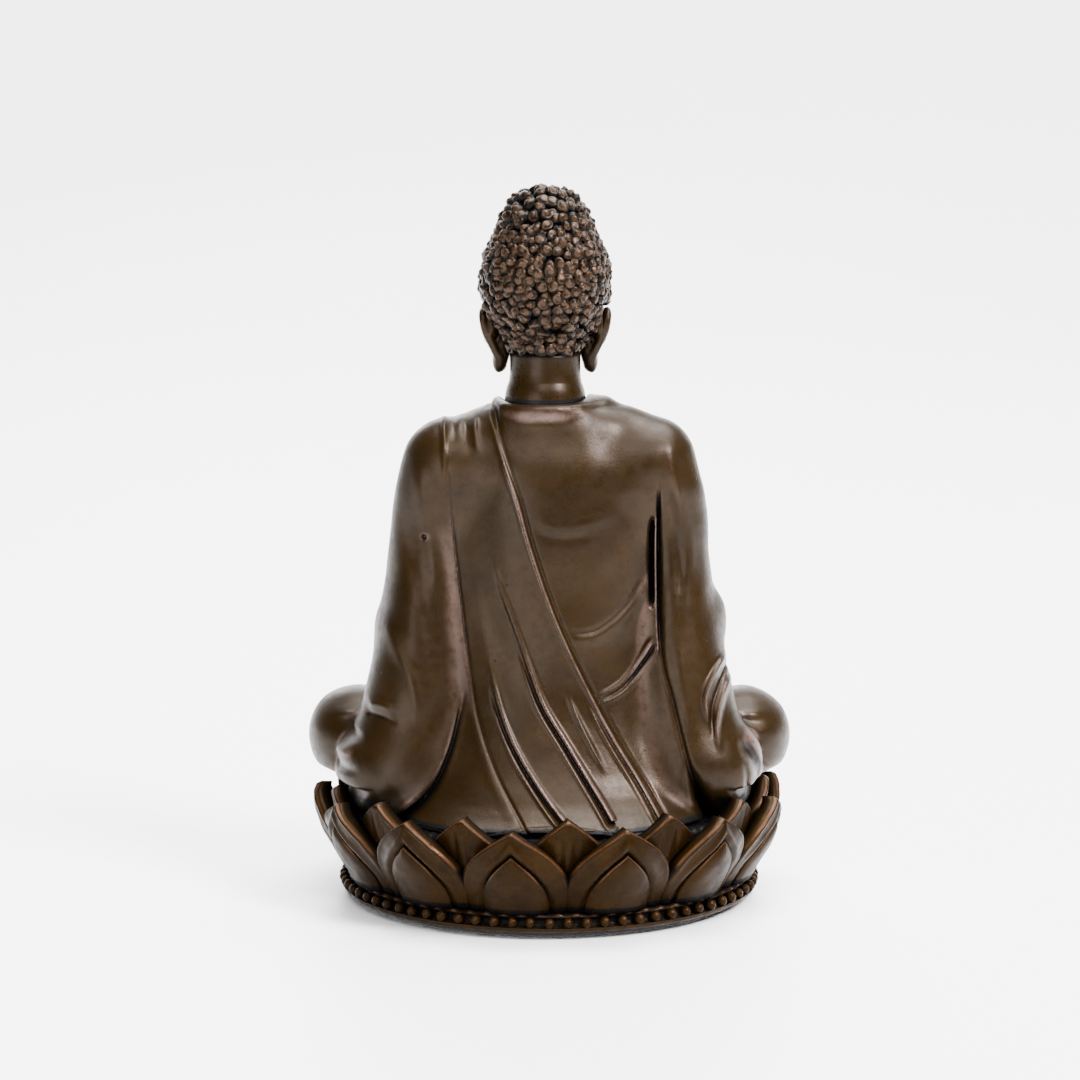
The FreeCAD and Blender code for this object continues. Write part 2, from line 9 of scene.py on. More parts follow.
import bpy
import numpy as np
import openvdb
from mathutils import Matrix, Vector


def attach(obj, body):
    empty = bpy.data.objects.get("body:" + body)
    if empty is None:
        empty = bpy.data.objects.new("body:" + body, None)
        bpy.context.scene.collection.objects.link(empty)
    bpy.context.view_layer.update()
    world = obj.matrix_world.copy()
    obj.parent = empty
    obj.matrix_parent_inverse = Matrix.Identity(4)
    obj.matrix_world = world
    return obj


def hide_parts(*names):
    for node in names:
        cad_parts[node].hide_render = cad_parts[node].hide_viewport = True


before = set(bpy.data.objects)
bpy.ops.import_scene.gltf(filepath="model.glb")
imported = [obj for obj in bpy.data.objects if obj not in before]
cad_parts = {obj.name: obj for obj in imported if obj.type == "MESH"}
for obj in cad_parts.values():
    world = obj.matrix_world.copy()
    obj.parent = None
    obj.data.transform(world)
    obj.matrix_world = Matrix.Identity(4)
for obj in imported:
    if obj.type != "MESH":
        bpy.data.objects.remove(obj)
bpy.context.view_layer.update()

MM = 0.001
random = np.random.default_rng(7)


# ---------------------------------------------------------------- distance fields
def smooth_min(a, b, k):
    """The smaller value, blended over a width k (a number or an array)."""
    if np.isscalar(k) and k <= 0:
        return np.minimum(a, b)
    h = np.maximum(k - np.abs(a - b), 0) / k
    return np.minimum(a, b) - h * h * (k / 4)


def step(low, high, value):
    """Smooth step from 0 to 1; low may be above high."""
    gap = high - low if high != low else 1e-6
    t = np.clip((value - low) / gap, 0, 1)
    return t * t * (3 - 2 * t)


def curve(points, per_run=6):
    """Catmull-Rom curve through rows of numbers."""
    p = np.asarray(points, float)
    p = np.vstack([2 * p[0] - p[1], p, 2 * p[-1] - p[-2]])
    out = []
    for i in range(1, len(p) - 2):
        t = np.linspace(0, 1, per_run, endpoint=False)[:, None]
        a, b, c, d = p[i - 1], p[i], p[i + 1], p[i + 2]
        out.append(
            0.5 * (2 * b + (c - a) * t + (2 * a - 5 * b + 4 * c - d) * t**2 + (3 * b - a - 3 * c + d) * t**3)
        )
    return np.vstack([*out, p[-2]])


class Field:
    """A signed distance on a regular grid, negative inside."""

    FAR = 5.0

    def __init__(self, lo, hi, pitch):
        self.pitch = pitch
        self.lo = np.array(lo, float)
        self.axes = [np.arange(a, b + pitch, pitch, dtype=np.float32) for a, b in zip(lo, hi)]
        self.f = np.full([len(a) for a in self.axes], self.FAR, np.float32)

    def like(self):
        """An empty field on the same grid."""
        twin = Field.__new__(Field)
        twin.pitch, twin.lo, twin.axes = self.pitch, self.lo, self.axes
        twin.f = np.full_like(self.f, self.FAR)
        return twin

    def window(self, lo, hi):
        cuts = tuple(slice(*np.searchsorted(a, (p, q))) for a, p, q in zip(self.axes, lo, hi))
        x, y, z = (a[c] for a, c in zip(self.axes, cuts))
        return cuts, x[:, None, None], y[None, :, None], z[None, None, :]

    def add(self, shape, k=0.0, margin=3.6):
        solid, lo, hi = shape
        cuts, x, y, z = self.window(np.array(lo) - margin, np.array(hi) + margin)
        self.f[cuts] = smooth_min(self.f[cuts], solid(x, y, z), k)
        return self

    def cut(self, shape, k=0.0, margin=1.2):
        solid, lo, hi = shape
        cuts, x, y, z = self.window(np.array(lo) - margin, np.array(hi) + margin)
        self.f[cuts] = -smooth_min(-self.f[cuts], solid(x, y, z), k)
        return self

    def sample(self, points):
        """Trilinear values at points, an array of rows."""
        at = (points - self.lo) / self.pitch
        top = np.array(self.f.shape) - 1.001
        at = np.clip(at, 0, top)
        i = at.astype(int)
        t = (at - i).astype(np.float32)
        total = 0
        for dx in (0, 1):
            for dy in (0, 1):
                for dz in (0, 1):
                    w = (
                        (t[:, 0] if dx else 1 - t[:, 0])
                        * (t[:, 1] if dy else 1 - t[:, 1])
                        * (t[:, 2] if dz else 1 - t[:, 2])
                    )
                    total = total + w * self.f[i[:, 0] + dx, i[:, 1] + dy, i[:, 2] + dz]
        return total

    def normals(self, points):
        h = self.pitch * 0.9
        n = np.stack(
            [self.sample(points + h * e) - self.sample(points - h * e) for e in np.eye(3)], axis=1
        )
        return n / np.maximum(np.linalg.norm(n, axis=1, keepdims=True), 1e-6)


def ball(centre, half, turn=0.0, about="z"):
    """An ellipsoid; turn is in degrees about one axis."""
    cx, cy, cz = centre
    a, b, c = (half, half, half) if np.isscalar(half) else half
    reach = max(a, b, c) if turn else None
    cos, sin = math.cos(math.radians(turn)), math.sin(math.radians(turn))

    def solid(x, y, z):
        x, y, z = x - cx, y - cy, z - cz
        if turn and about == "z":
            x, y = cos * x + sin * y, cos * y - sin * x
        elif turn and about == "y":
            x, z = cos * x - sin * z, cos * z + sin * x
        elif turn:
            y, z = cos * y + sin * z, cos * z - sin * y
        k0 = np.sqrt((x / a) ** 2 + (y / b) ** 2 + (z / c) ** 2)
        k1 = np.sqrt((x / a**2) ** 2 + (y / b**2) ** 2 + (z / c**2) ** 2)
        return k0 * (k0 - 1) / np.maximum(k1, 1e-5)

    size = (reach,) * 3 if turn else (a, b, c)
    return solid, np.subtract(centre, size), np.add(centre, size)


def tube(points, per_run=1, soft=0.0):
    """A round-ended tube through rows of x, y, z, radius; soft rounds the bends."""
    p = np.asarray(points, float)
    if per_run > 1:
        p = curve(p, per_run)

    def solid(x, y, z):
        best = None
        for (ax, ay, az, ar), (bx, by, bz, br) in zip(p, p[1:]):
            dx, dy, dz = bx - ax, by - ay, bz - az
            t = ((x - ax) * dx + (y - ay) * dy + (z - az) * dz) / (dx * dx + dy * dy + dz * dz)
            t = np.clip(t, 0, 1)
            away = np.sqrt((x - ax - t * dx) ** 2 + (y - ay - t * dy) ** 2 + (z - az - t * dz) ** 2)
            away = away - (ar + (br - ar) * t)
            best = away if best is None else smooth_min(best, away, soft)
        return best

    r = p[:, 3:]
    return solid, (p[:, :3] - r).min(axis=0), (p[:, :3] + r).max(axis=0)


def stack(stations):
    """A body through horizontal ellipses: rows of height, half_x, half_y, x, y."""
    rows = curve(stations, 8)
    height, half_x, half_y, mid_x, mid_y = rows.T

    def solid(x, y, z):
        flat = z.ravel()
        a, b, cx, cy = (np.interp(flat, height, v)[None, None, :] for v in (half_x, half_y, mid_x, mid_y))
        lean = np.gradient(np.interp(flat, height, (half_x + half_y) / 2), flat)[None, None, :]
        x, y = x - cx, y - cy
        k0 = np.sqrt((x / a) ** 2 + (y / b) ** 2)
        k1 = np.sqrt((x / a**2) ** 2 + (y / b**2) ** 2)
        side = k0 * (k0 - 1) / np.maximum(k1, 1e-5) / np.sqrt(1 + np.minimum(lean**2, 4))
        ends = np.maximum(z - height[-1], height[0] - z)
        return -smooth_min(-side, -ends, 1.0)

    wide, deep = half_x.max(), half_y.max()
    lo = (mid_x.min() - wide, mid_y.min() - deep, height[0])
    hi = (mid_x.max() + wide, mid_y.max() + deep, height[-1])
    return solid, lo, hi


# ---------------------------------------------------------------- drapery drawn on flat maps
def trace(u, v, points):
    """Distance from a curve, positive on its +u side going down, and the share of it passed."""
    line = curve(points, 7)
    runs = np.linalg.norm(np.diff(line, axis=0), axis=1)
    start = np.concatenate([[0], np.cumsum(runs)]) / runs.sum()
    shape = np.broadcast(u, v).shape
    best = np.full(shape, np.inf)
    side, along = np.zeros(shape), np.zeros(shape)
    for i, ((au, av), (bu, bv)) in enumerate(zip(line, line[1:])):
        du, dv = bu - au, bv - av
        t = np.clip(((u - au) * du + (v - av) * dv) / (du * du + dv * dv), 0, 1)
        away = (u - au - t * du) ** 2 + (v - av - t * dv) ** 2
        nearer = away < best
        best = np.where(nearer, away, best)
        side = np.where(nearer, du * (v - av) - dv * (u - au), side)
        along = np.where(nearer, start[i] + t * (start[i + 1] - start[i]), along)
    return np.copysign(np.sqrt(best), side).astype(np.float32), along.astype(np.float32)


class Drape:
    """Relief seen along one axis: a height in millimetres over a flat (u, v) map."""

    def __init__(self, u, v):
        self.u, self.v = u[:, None], v[None, :]
        self.height = np.zeros((len(u), len(v)), np.float32)

    def trace(self, points):
        return trace(self.u, self.v, points)

    def run(self, points, fade):
        """Distance from a curve, and a weight that fades at its ends."""
        d, t = self.trace(points)
        return d, step(-1e-3, fade[0], t) * step(1 + 1e-3, 1 - fade[1], t)

    def fold(self, points, width, height, shift=0.0, fade=(0.12, 0.12)):
        """A round ridge along a curve, or a groove if height is negative."""
        d, ends = self.run(points, fade)
        self.height += height * np.exp(-(((d - shift) / width) ** 2)) * ends

    def layer(self, points, height, fall, edge=0.25, fade=(0.05, 0.05)):
        """Cloth lying over cloth: raised on the curve's left, sinking back over a distance."""
        d, ends = self.run(points, fade)
        raised = step(-edge, edge, d) * np.exp(-np.maximum(d, 0) / fall)
        self.height += height * raised * ends

    def rumple(self, size, height):
        """Gentle unevenness with features of about one size."""
        u, v = self.u.ravel(), self.v.ravel()
        coarse = random.normal(size=(int(np.ptp(u) / size) + 4, int(np.ptp(v) / size) + 4))
        at_u, at_v = (u - u[0]) / size + 1, (v - v[0]) / size + 1
        iu, iv = at_u.astype(int), at_v.astype(int)
        tu, tv = step(0, 1, at_u - iu)[:, None], step(0, 1, at_v - iv)[None, :]
        grid = (
            coarse[np.ix_(iu, iv)] * (1 - tu) * (1 - tv)
            + coarse[np.ix_(iu + 1, iv)] * tu * (1 - tv)
            + coarse[np.ix_(iu, iv + 1)] * (1 - tu) * tv
            + coarse[np.ix_(iu + 1, iv + 1)] * tu * tv
        )
        self.height += height * grid


# ---------------------------------------------------------------- meshes
def surface(field):
    """The zero surface of a field: points and quads."""
    band = 3 * field.pitch
    grid = openvdb.FloatGrid(band)
    grid.copyFromArray(np.clip(field.f, -band, band), tolerance=1e-4)
    points, quads = grid.convertToQuads(0.0)
    return np.asarray(points, float) * field.pitch + field.lo, np.asarray(quads)


def shade_patina_and_wear(field, points, reach=1.0):
    """Painted shade with patina from how sunken each surface point is, and wear from how exposed it is, both
    about 0 to 1.
    """
    n = field.normals(points)
    shade_and_patina = np.zeros(len(points))
    # Painted shade: occlusion sampled along the normal, used as black in hollows, creases and gaps, together
    # with the patina there.
    for h, w in ((0.35, 0.30), (0.8, 0.30), (1.6, 0.25), (3.0, 0.15)):
        h *= reach
        shade_and_patina += w * np.clip((h - field.sample(points + n * h)) / h, 0, 1)
    rub = np.zeros(len(points))
    for h, w in ((0.35, 0.6), (0.8, 0.4)):
        h *= reach
        rub += w * np.clip((h + field.sample(points - n * h)) / h, 0, 1)
    return shade_and_patina, rub


def piece(name, points, faces, node, material, shade_and_patina=None, rub=None):
    """A smooth mesh that stands for one CAD node."""
    mesh = bpy.data.meshes.new(name)
    faces = faces.tolist() if isinstance(faces, np.ndarray) else faces
    mesh.from_pydata((np.asarray(points) * MM).tolist(), [], faces)
    for label, values in (("shade_and_patina", shade_and_patina), ("rub", rub)):
        values = np.zeros(len(mesh.vertices)) if values is None else values
        layer = mesh.attributes.new(label, "FLOAT", "POINT")
        layer.data.foreach_set("value", np.asarray(values, np.float32))
    mesh.polygons.foreach_set("use_smooth", np.ones(len(mesh.polygons), bool))
    mesh.materials.append(material)
    mesh.update()
    obj = bpy.data.objects.new(name, mesh)
    bpy.context.scene.collection.objects.link(obj)
    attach(obj, "root")
    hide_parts(node)
    return obj


def shell(name, points, quads, normals, node, material, shade_and_patina, rub, depth=0.5):
    """A closed skin of some quads, given thickness inwards."""
    used, quads = np.unique(quads, return_inverse=True)
    quads = quads.reshape(-1, 4)
    n, count = normals[used], len(used)
    starts, ends = quads.ravel(), np.roll(quads, -1, axis=1).ravel()
    there, back = starts * count + ends, ends * count + starts
    open_edge = ~np.isin(there, back)
    a, b = starts[open_edge], ends[open_edge]
    walls = np.stack([b, a, a + count, b + count], axis=1)
    faces = np.vstack([quads, quads[:, ::-1] + count, walls])
    both = np.vstack([points[used], points[used] - depth * n])
    made = piece(
        name, both, faces, node, material, np.tile(shade_and_patina[used], 2), np.tile(rub[used], 2)
    )
    made.data.normals_split_custom_set_from_vertices(np.vstack([n, -n]).tolist())


def outward(points, faces):
    """Faces turned so that the volume they enclose is positive."""
    p, f = np.asarray(points), np.asarray(faces)
    a, b, c = (p[f[:, i]] for i in range(3))
    if np.einsum("ij,ij->i", a, np.cross(b, c)).sum() < 0:
        f = f[:, ::-1]
    return f


def turned(profile, steps, wobble=None):
    """A ring or disc turned about Z from a closed (radius, height) profile."""
    profile = np.asarray(profile, float)
    angle = np.linspace(0, 2 * math.pi, steps, endpoint=False)
    r, z = profile[:, 0][None, :], profile[:, 1][None, :]
    if wobble is not None:
        dr, dz = wobble(angle[:, None], r, z)
        r, z = r + dr, z + dz
    r, z = np.broadcast_arrays(r, z)
    if r.shape[0] == 1:
        r, z = (np.repeat(v, steps, axis=0) for v in (r, z))
    points = np.stack([r * np.cos(angle)[:, None], r * np.sin(angle)[:, None], z], axis=-1)
    n = profile.shape[0]
    i, j = np.meshgrid(np.arange(steps), np.arange(n), indexing="ij")
    i2, j2 = (i + 1) % steps, (j + 1) % n
    faces = np.stack([i * n + j, i2 * n + j, i2 * n + j2, i * n + j2], axis=-1).reshape(-1, 4)
    points = points.reshape(-1, 3)
    return points, outward(points, faces)


# ---------------------------------------------------------------- materials
def bronze(name, brown, warm, patina_and_shade, copper, rough=0.36, grain=1.0, gloss=1.0):
    """Dark cold-cast bronze: mottled brown, black patina with painted shade in the recesses, coppery on the
    worn edges.

    grain scales the finest relief, and gloss the specular level and the clear coat.
    """
    material = bpy.data.materials.new(name)
    material.use_nodes = True
    nodes, links = material.node_tree.nodes, material.node_tree.links
    nodes.clear()

    def node(kind, **values):
        made = nodes.new("ShaderNode" + kind)
        for key, value in values.items():
            setattr(made, key, value)
        return made

    def noise(scale, detail, roughness, source):
        made = node("TexNoise")
        made.inputs["Scale"].default_value = scale
        made.inputs["Detail"].default_value = detail
        made.inputs["Roughness"].default_value = roughness
        links.new(source, made.inputs["Vector"])
        return made.outputs["Fac"]

    def remap(value, a, b, low=0.0, high=1.0):
        made = node("MapRange", clamp=True, interpolation_type="SMOOTHSTEP")
        for socket, number in zip(("From Min", "From Max", "To Min", "To Max"), (a, b, low, high)):
            made.inputs[socket].default_value = number
        links.new(value, made.inputs["Value"])
        return made.outputs["Result"]

    def maths(kind, a, b):
        made = node("Math", operation=kind)
        for socket, value in zip(made.inputs, (a, b)):
            if isinstance(value, (int, float)):
                socket.default_value = value
            else:
                links.new(value, socket)
        return made.outputs[0]

    def mix(factor, a, b):
        made = node("Mix", data_type="RGBA")
        links.new(factor, made.inputs["Factor"])
        for socket, value in zip((made.inputs[6], made.inputs[7]), (a, b)):
            if isinstance(value, tuple):
                socket.default_value = (*value, 1)
            else:
                links.new(value, socket)
        return made.outputs[2]

    place = node("TexCoord").outputs["Object"]
    shade_and_patina = node("Attribute", attribute_name="shade_and_patina").outputs["Fac"]
    rub = node("Attribute", attribute_name="rub").outputs["Fac"]
    cloud = noise(130, 4, 0.6, place)
    fleck = noise(900, 5, 0.7, place)
    fine = noise(4200, 3, 0.6, place)

    colour = mix(remap(cloud, 0.38, 0.66), brown, warm)
    darker = tuple(0.55 * c for c in brown)
    colour = mix(remap(fleck, 0.48, 0.72, 0, 0.55), colour, darker)
    worn = maths("MULTIPLY", remap(rub, 0.14, 0.50), remap(fleck, 0.30, 0.60, 0.45, 1))
    colour = mix(worn, colour, copper)
    # Painted shade: the occlusion attribute, with some mottle, mixes in the black colour in hollows and
    # creases, as patina and as shade.
    shade_patina_mottle = maths("ADD", shade_and_patina, maths("MULTIPLY", maths("SUBTRACT", fleck, 0.5), 0.22))
    shade_mask = remap(shade_patina_mottle, 0.26, 0.72)
    colour = mix(shade_mask, colour, patina_and_shade)
    speck = node("TexVoronoi")
    speck.inputs["Scale"].default_value = 520
    links.new(place, speck.inputs["Vector"])
    pits = remap(speck.outputs["Distance"], 0.05, 0.11, 1, 0)
    pits = maths("MULTIPLY", pits, remap(cloud, 0.52, 0.60))
    colour = mix(maths("MULTIPLY", pits, 0.85), colour, patina_and_shade)

    roughness = remap(fleck, 0.3, 0.7, rough - 0.07, rough + 0.09)
    roughness = maths("ADD", roughness, maths("MULTIPLY", shade_mask, 0.25))
    roughness = maths("SUBTRACT", roughness, maths("MULTIPLY", worn, 0.08))

    relief = maths("MULTIPLY", fleck, 0.5)
    relief = maths("ADD", relief, maths("MULTIPLY", fine, 0.22 * grain))
    relief = maths("SUBTRACT", relief, maths("MULTIPLY", pits, 0.9))
    bump = node("Bump")
    bump.inputs["Strength"].default_value = 0.32
    bump.inputs["Distance"].default_value = 0.00022
    links.new(relief, bump.inputs["Height"])

    shader = node("BsdfPrincipled")
    shader.inputs["Metallic"].default_value = 0.35
    shader.inputs["Specular IOR Level"].default_value = 0.11 * gloss
    shader.inputs["Coat Weight"].default_value = 0.065 * gloss
    shader.inputs["Coat Roughness"].default_value = 0.28
    links.new(colour, shader.inputs["Base Color"])
    links.new(roughness, shader.inputs["Roughness"])
    links.new(bump.outputs["Normal"], shader.inputs["Normal"])
    out = node("OutputMaterial")
    links.new(shader.outputs["BSDF"], out.inputs["Surface"])
    return material


BROWN = (0.0104, 0.0051, 0.0008)
WARM = (0.0142, 0.0070, 0.0011)
# The black of the patina and of the painted shade in hollows, creases and gaps.
BLACK = (0.0014, 0.0011, 0.0011)
COPPER = (0.085, 0.055, 0.045)
robe_metal = bronze("robe_bronze", BROWN, WARM, BLACK, COPPER)
skin_metal = bronze("skin_bronze", BROWN, WARM, BLACK, COPPER, rough=0.31, grain=0.5)
hair_metal = bronze(
    "hair_bronze", (0.0048, 0.0023, 0.0006), (0.0094, 0.0046, 0.0012), BLACK, (0.080, 0.046, 0.028),
    rough=0.30, gloss=0.7,
)
petal_metal = bronze(
    "petal_bronze", (0.0080, 0.0037, 0.0006), (0.0125, 0.0058, 0.0009), BLACK, (0.045, 0.021, 0.010),
    rough=0.40, grain=0.5, gloss=0.25,
)
base_metal = bronze(
    "base_bronze", (0.0115, 0.0058, 0.0014), (0.0160, 0.0080, 0.0020), BLACK, (0.06, 0.032, 0.018),
    rough=0.38, gloss=0.4,
)


def felt_material():
    material = bpy.data.materials.new("felt")
    material.use_nodes = True
    nodes, links = material.node_tree.nodes, material.node_tree.links
    shader = nodes["Principled BSDF"]
    place = nodes.new("ShaderNodeTexCoord").outputs["Object"]
    fibre = nodes.new("ShaderNodeTexNoise")
    fibre.inputs["Scale"].default_value = 5200
    fibre.inputs["Detail"].default_value = 6
    links.new(place, fibre.inputs["Vector"])
    tone = nodes.new("ShaderNodeMapRange")
    tone.inputs["To Min"].default_value = 0.004
    tone.inputs["To Max"].default_value = 0.028
    links.new(fibre.outputs["Fac"], tone.inputs["Value"])
    links.new(tone.outputs["Result"], shader.inputs["Base Color"])
    bump = nodes.new("ShaderNodeBump")
    bump.inputs["Distance"].default_value = 0.0002
    links.new(fibre.outputs["Fac"], bump.inputs["Height"])
    links.new(bump.outputs["Normal"], shader.inputs["Normal"])
    shader.inputs["Roughness"].default_value = 0.95
    shader.inputs["Sheen Weight"].default_value = 0.35
    return material


# ---------------------------------------------------------------- foot, beads and lotus core
def make_beads():
    """Slightly uneven beads in the foot's channel."""
    around, up = 18, 11
    lon = np.linspace(0, 2 * math.pi, around, endpoint=False)
    lat = np.linspace(-math.pi / 2, math.pi / 2, up + 2)[1:-1]
    ring = [(math.cos(b) * math.cos(a), math.cos(b) * math.sin(a), math.sin(b)) for b in lat for a in lon]
    unit = np.array([(0, 0, -1), *ring, (0, 0, 1)])
    top = len(unit) - 1
    one = []
    for i in range(around):
        k = (i + 1) % around
        one.append((0, 1 + k, 1 + i))
        one.append((top, top - around + i, top - around + k))
        for j in range(up - 1):
            low, high = 1 + j * around, 1 + (j + 1) * around
            one.append((low + i, low + k, high + k, high + i))
    points, faces, shade_mask, rub = [], [], [], []
    count = 72
    for b in range(count):
        turn = 2 * math.pi * (b + random.normal(0, 0.03)) / count
        out = np.array([math.cos(turn), math.sin(turn), 0])
        across = np.array([-math.sin(turn), math.cos(turn), 0])
        shape = unit * 0.63 * random.uniform(0.94, 1.04) * random.uniform(0.95, 1.04, 3)
        shape = shape + 0.02 * np.sin(9 * unit[:, [1, 2, 0]] + b)
        at = out * 24.5 + np.array([0, 0, 2.05 + random.normal(0, 0.03)])
        points.append(at + shape[:, :1] * out + shape[:, 1:2] * across + shape[:, 2:] * np.array([0, 0, 1]))
        faces += [[b * len(unit) + v for v in face] for face in one]
        facing = unit[:, 0]
        # Painted shade on each bead's inner side, turned into the channel.
        shade_mask.append(np.clip(0.42 - 0.75 * facing, 0, 1))
        rub.append(0.30 * step(0.55, 0.95, facing * 0.8 + unit[:, 2] * 0.6))
    piece(
        "beads", np.vstack(points), faces, "bead_row", petal_metal,
        np.concatenate(shade_mask), np.concatenate(rub),
    )


def make_foot():
    felt = [(0.4, 0.0), (8, 0.0), (16, 0.0), (22.6, 0.02), (23.2, 0.12), (23.4, 0.4)]
    felt += [(23.2, 0.72), (22.4, 0.8), (16, 0.8), (8, 0.8), (0.4, 0.8)]
    points, faces = turned(felt, 240, lambda a, r, z: (0.05 * np.sin(17 * a) * (r > 20), 0.0))
    piece("felt", points, faces, "felt_pad", felt_material())

    channel, ring, height = 0.66, 24.5, 2.05
    arc = [
        (ring + channel * math.cos(t), height + channel * math.sin(t))
        for t in np.linspace(math.radians(-52), math.radians(-228), 14)
    ]
    rim = [(19.8, 0.85), (23.6, 0.82), (24.35, 0.86), (24.62, 1.0), (24.75, 1.2), (24.72, 1.38)]
    rim.append((arc[0][0] + 0.02, arc[0][1]))
    rim += arc[1:] + [(24.0, 2.62), (23.85, 2.85), (23.5, 2.9), (21.5, 2.9), (19.8, 2.88), (19.7, 2.0)]

    def wobble(a, r, z):
        out = (r > 22) * (0.035 * np.sin(9 * a + 1) + 0.03 * np.sin(31 * a) + 0.02 * np.sin(67 * a + 2))
        post = 0.16 * np.maximum(np.cos(72 * a + math.pi), 0) * (r > 23.4) * (z > 2.55)
        return out + post, 0.4 * out * (z > 0.9) + 0.8 * post

    points, faces = turned(rim, 480, wobble)
    r, z = np.hypot(points[:, 0], points[:, 1]), points[:, 2]
    # Painted shade: black in the bead channel, and darker on the inner ring under the petals.
    shade_mask = step(0.15, -0.1, np.hypot(r - ring, z - height) - channel - 0.05) * (z > 1.5)
    shade_mask = np.maximum(0.95 * shade_mask, 0.6 * step(24.3, 23.8, r))
    rub = 0.22 * np.exp(-(((z - 1.35) / 0.22) ** 2)) * (r > 24.4) + 0.3 * (z > 2.7) * (r > 23.75)
    piece("foot", points, faces, "foot_rim", base_metal, shade_mask, rub)

    make_beads()

    seat = [(0.3, 0.85), (19.5, 0.85), (19.5, 2.88), (20.3, 2.95), (21.4, 5), (22.5, 7.4), (23.6, 9.6)]
    seat += [(24.2, 10.7), (24.1, 11.05), (23.4, 11.2), (22.6, 11.1), (21.9, 11.0), (21.6, 10.85)]
    seat += [(21.3, 11.0), (20.6, 11.2), (16, 11.2), (10, 11.2), (6.2, 11.2), (6.05, 10.6)]
    seat += [(6.05, 8.2), (0.3, 8.1)]

    def stamens(a, r, z):
        rib = np.abs(np.sin(55 * a)) * step(21.5, 22.2, r) * step(24.3, 23.6, r) * (z > 10)
        return 0.0, 0.35 * (rib - 0.5) * (rib > 0)

    points, faces = turned(seat, 720, stamens)
    r, z = np.hypot(points[:, 0], points[:, 1]), points[:, 2]
    # Painted shade: the core, hidden under the robe and petals, is made near black all over, darkest below
    # 10.4 mm.
    shade_mask = np.where(z < 10.4, 1.0, 0.85)
    piece("seat", points, faces, "lotus_core", base_metal, shade_mask)


# ---------------------------------------------------------------- petals
def petal_grid(across, up):
    """Parameters of a petal's front: u from -1 to 1 across, v from 0 to 1 up, closer at the rim."""
    u = np.sin(np.linspace(-1, 1, across) * math.pi / 2)
    u = 0.5 * u + 0.5 * np.linspace(-1, 1, across)
    v = 1 - (1 - np.linspace(0, 1, up)) ** 1.25
    return np.meshgrid(u, v, indexing="ij")


def petal_ring(name, node, count, first, front, thick, across=52, up=54):
    """count petals; front(u, v, i) gives arc offset, height, radius, painted shade with patina, and rub."""
    u, v = petal_grid(across, up)
    all_points, all_faces, shade_mask, rub = [], [], [], []
    total = 0
    i, j = np.meshgrid(np.arange(across - 1), np.arange(up - 1), indexing="ij")
    quad = np.stack([i * up + j, (i + 1) * up + j, (i + 1) * up + j + 1, i * up + j + 1], -1).reshape(-1, 4)
    n = across * up
    edge = np.concatenate(
        [np.arange(across) * up, (across - 1) * up + np.arange(1, up),
         np.arange(across - 2, -1, -1) * up + up - 1, np.arange(up - 2, 0, -1)]
    )
    wall = np.stack([edge, edge + n, np.roll(edge, -1) + n, np.roll(edge, -1)], -1)
    faces = np.vstack([quad, quad[:, ::-1] + n, wall])
    for k in range(count):
        s, z, r, petal_shade, worn = front(u, v, k)
        turn = first + k * 2 * math.pi / count
        points = []
        for depth in (0.0, thick):
            inner = r - depth
            angle = turn + s / np.maximum(r, 1)
            points.append(np.stack([inner * np.cos(angle), inner * np.sin(angle), z], -1).reshape(-1, 3))
        all_points += points
        all_faces.append(faces + total)
        total += 2 * n
        # The front carries painted shade and patina; the back faces get flat painted shade.
        shade_mask += [petal_shade.ravel(), np.full(n, 0.7)]
        rub += [worn.ravel(), np.zeros(n)]
    points, faces = np.vstack(all_points), np.vstack(all_faces)
    sample = slice(0, 2 * n)
    centred = points[sample] - points[sample].mean(axis=0)
    if (outward(centred, all_faces[0])[0] != all_faces[0][0]).any():
        faces = faces[:, ::-1]
    return piece(
        name, points, faces, node, petal_metal, np.concatenate(shade_mask), np.concatenate(rub)
    )


FOOT_Z = 2.95
OUTER_TIP, LEAF_TIP, INNER_TIP = 13.2, 10.4, 14.1
PETALS = 13
FIRST = math.radians(81)


def rise(v, stations):
    """A smooth curve through (v, value) stations."""
    rows = curve(stations, 12)
    return np.interp(v, rows[:, 0], rows[:, 1])


OUTLINE = [
    (0, 5.8), (0.2, 6.25), (0.38, 6.3), (0.54, 5.75), (0.68, 4.7), (0.80, 3.3), (0.90, 1.75), (0.96, 0.7),
    (1, 0.05),
]
PETAL_BOW = [(0, 24.15), (0.2, 25.3), (0.45, 26.85), (0.7, 27.85), (0.88, 28.05), (1, 27.75)]
LEAF_OUTLINE = [(0, 3.75), (0.2, 3.8), (0.42, 3.5), (0.62, 2.75), (0.78, 1.8), (0.9, 0.85), (1, 0.03)]


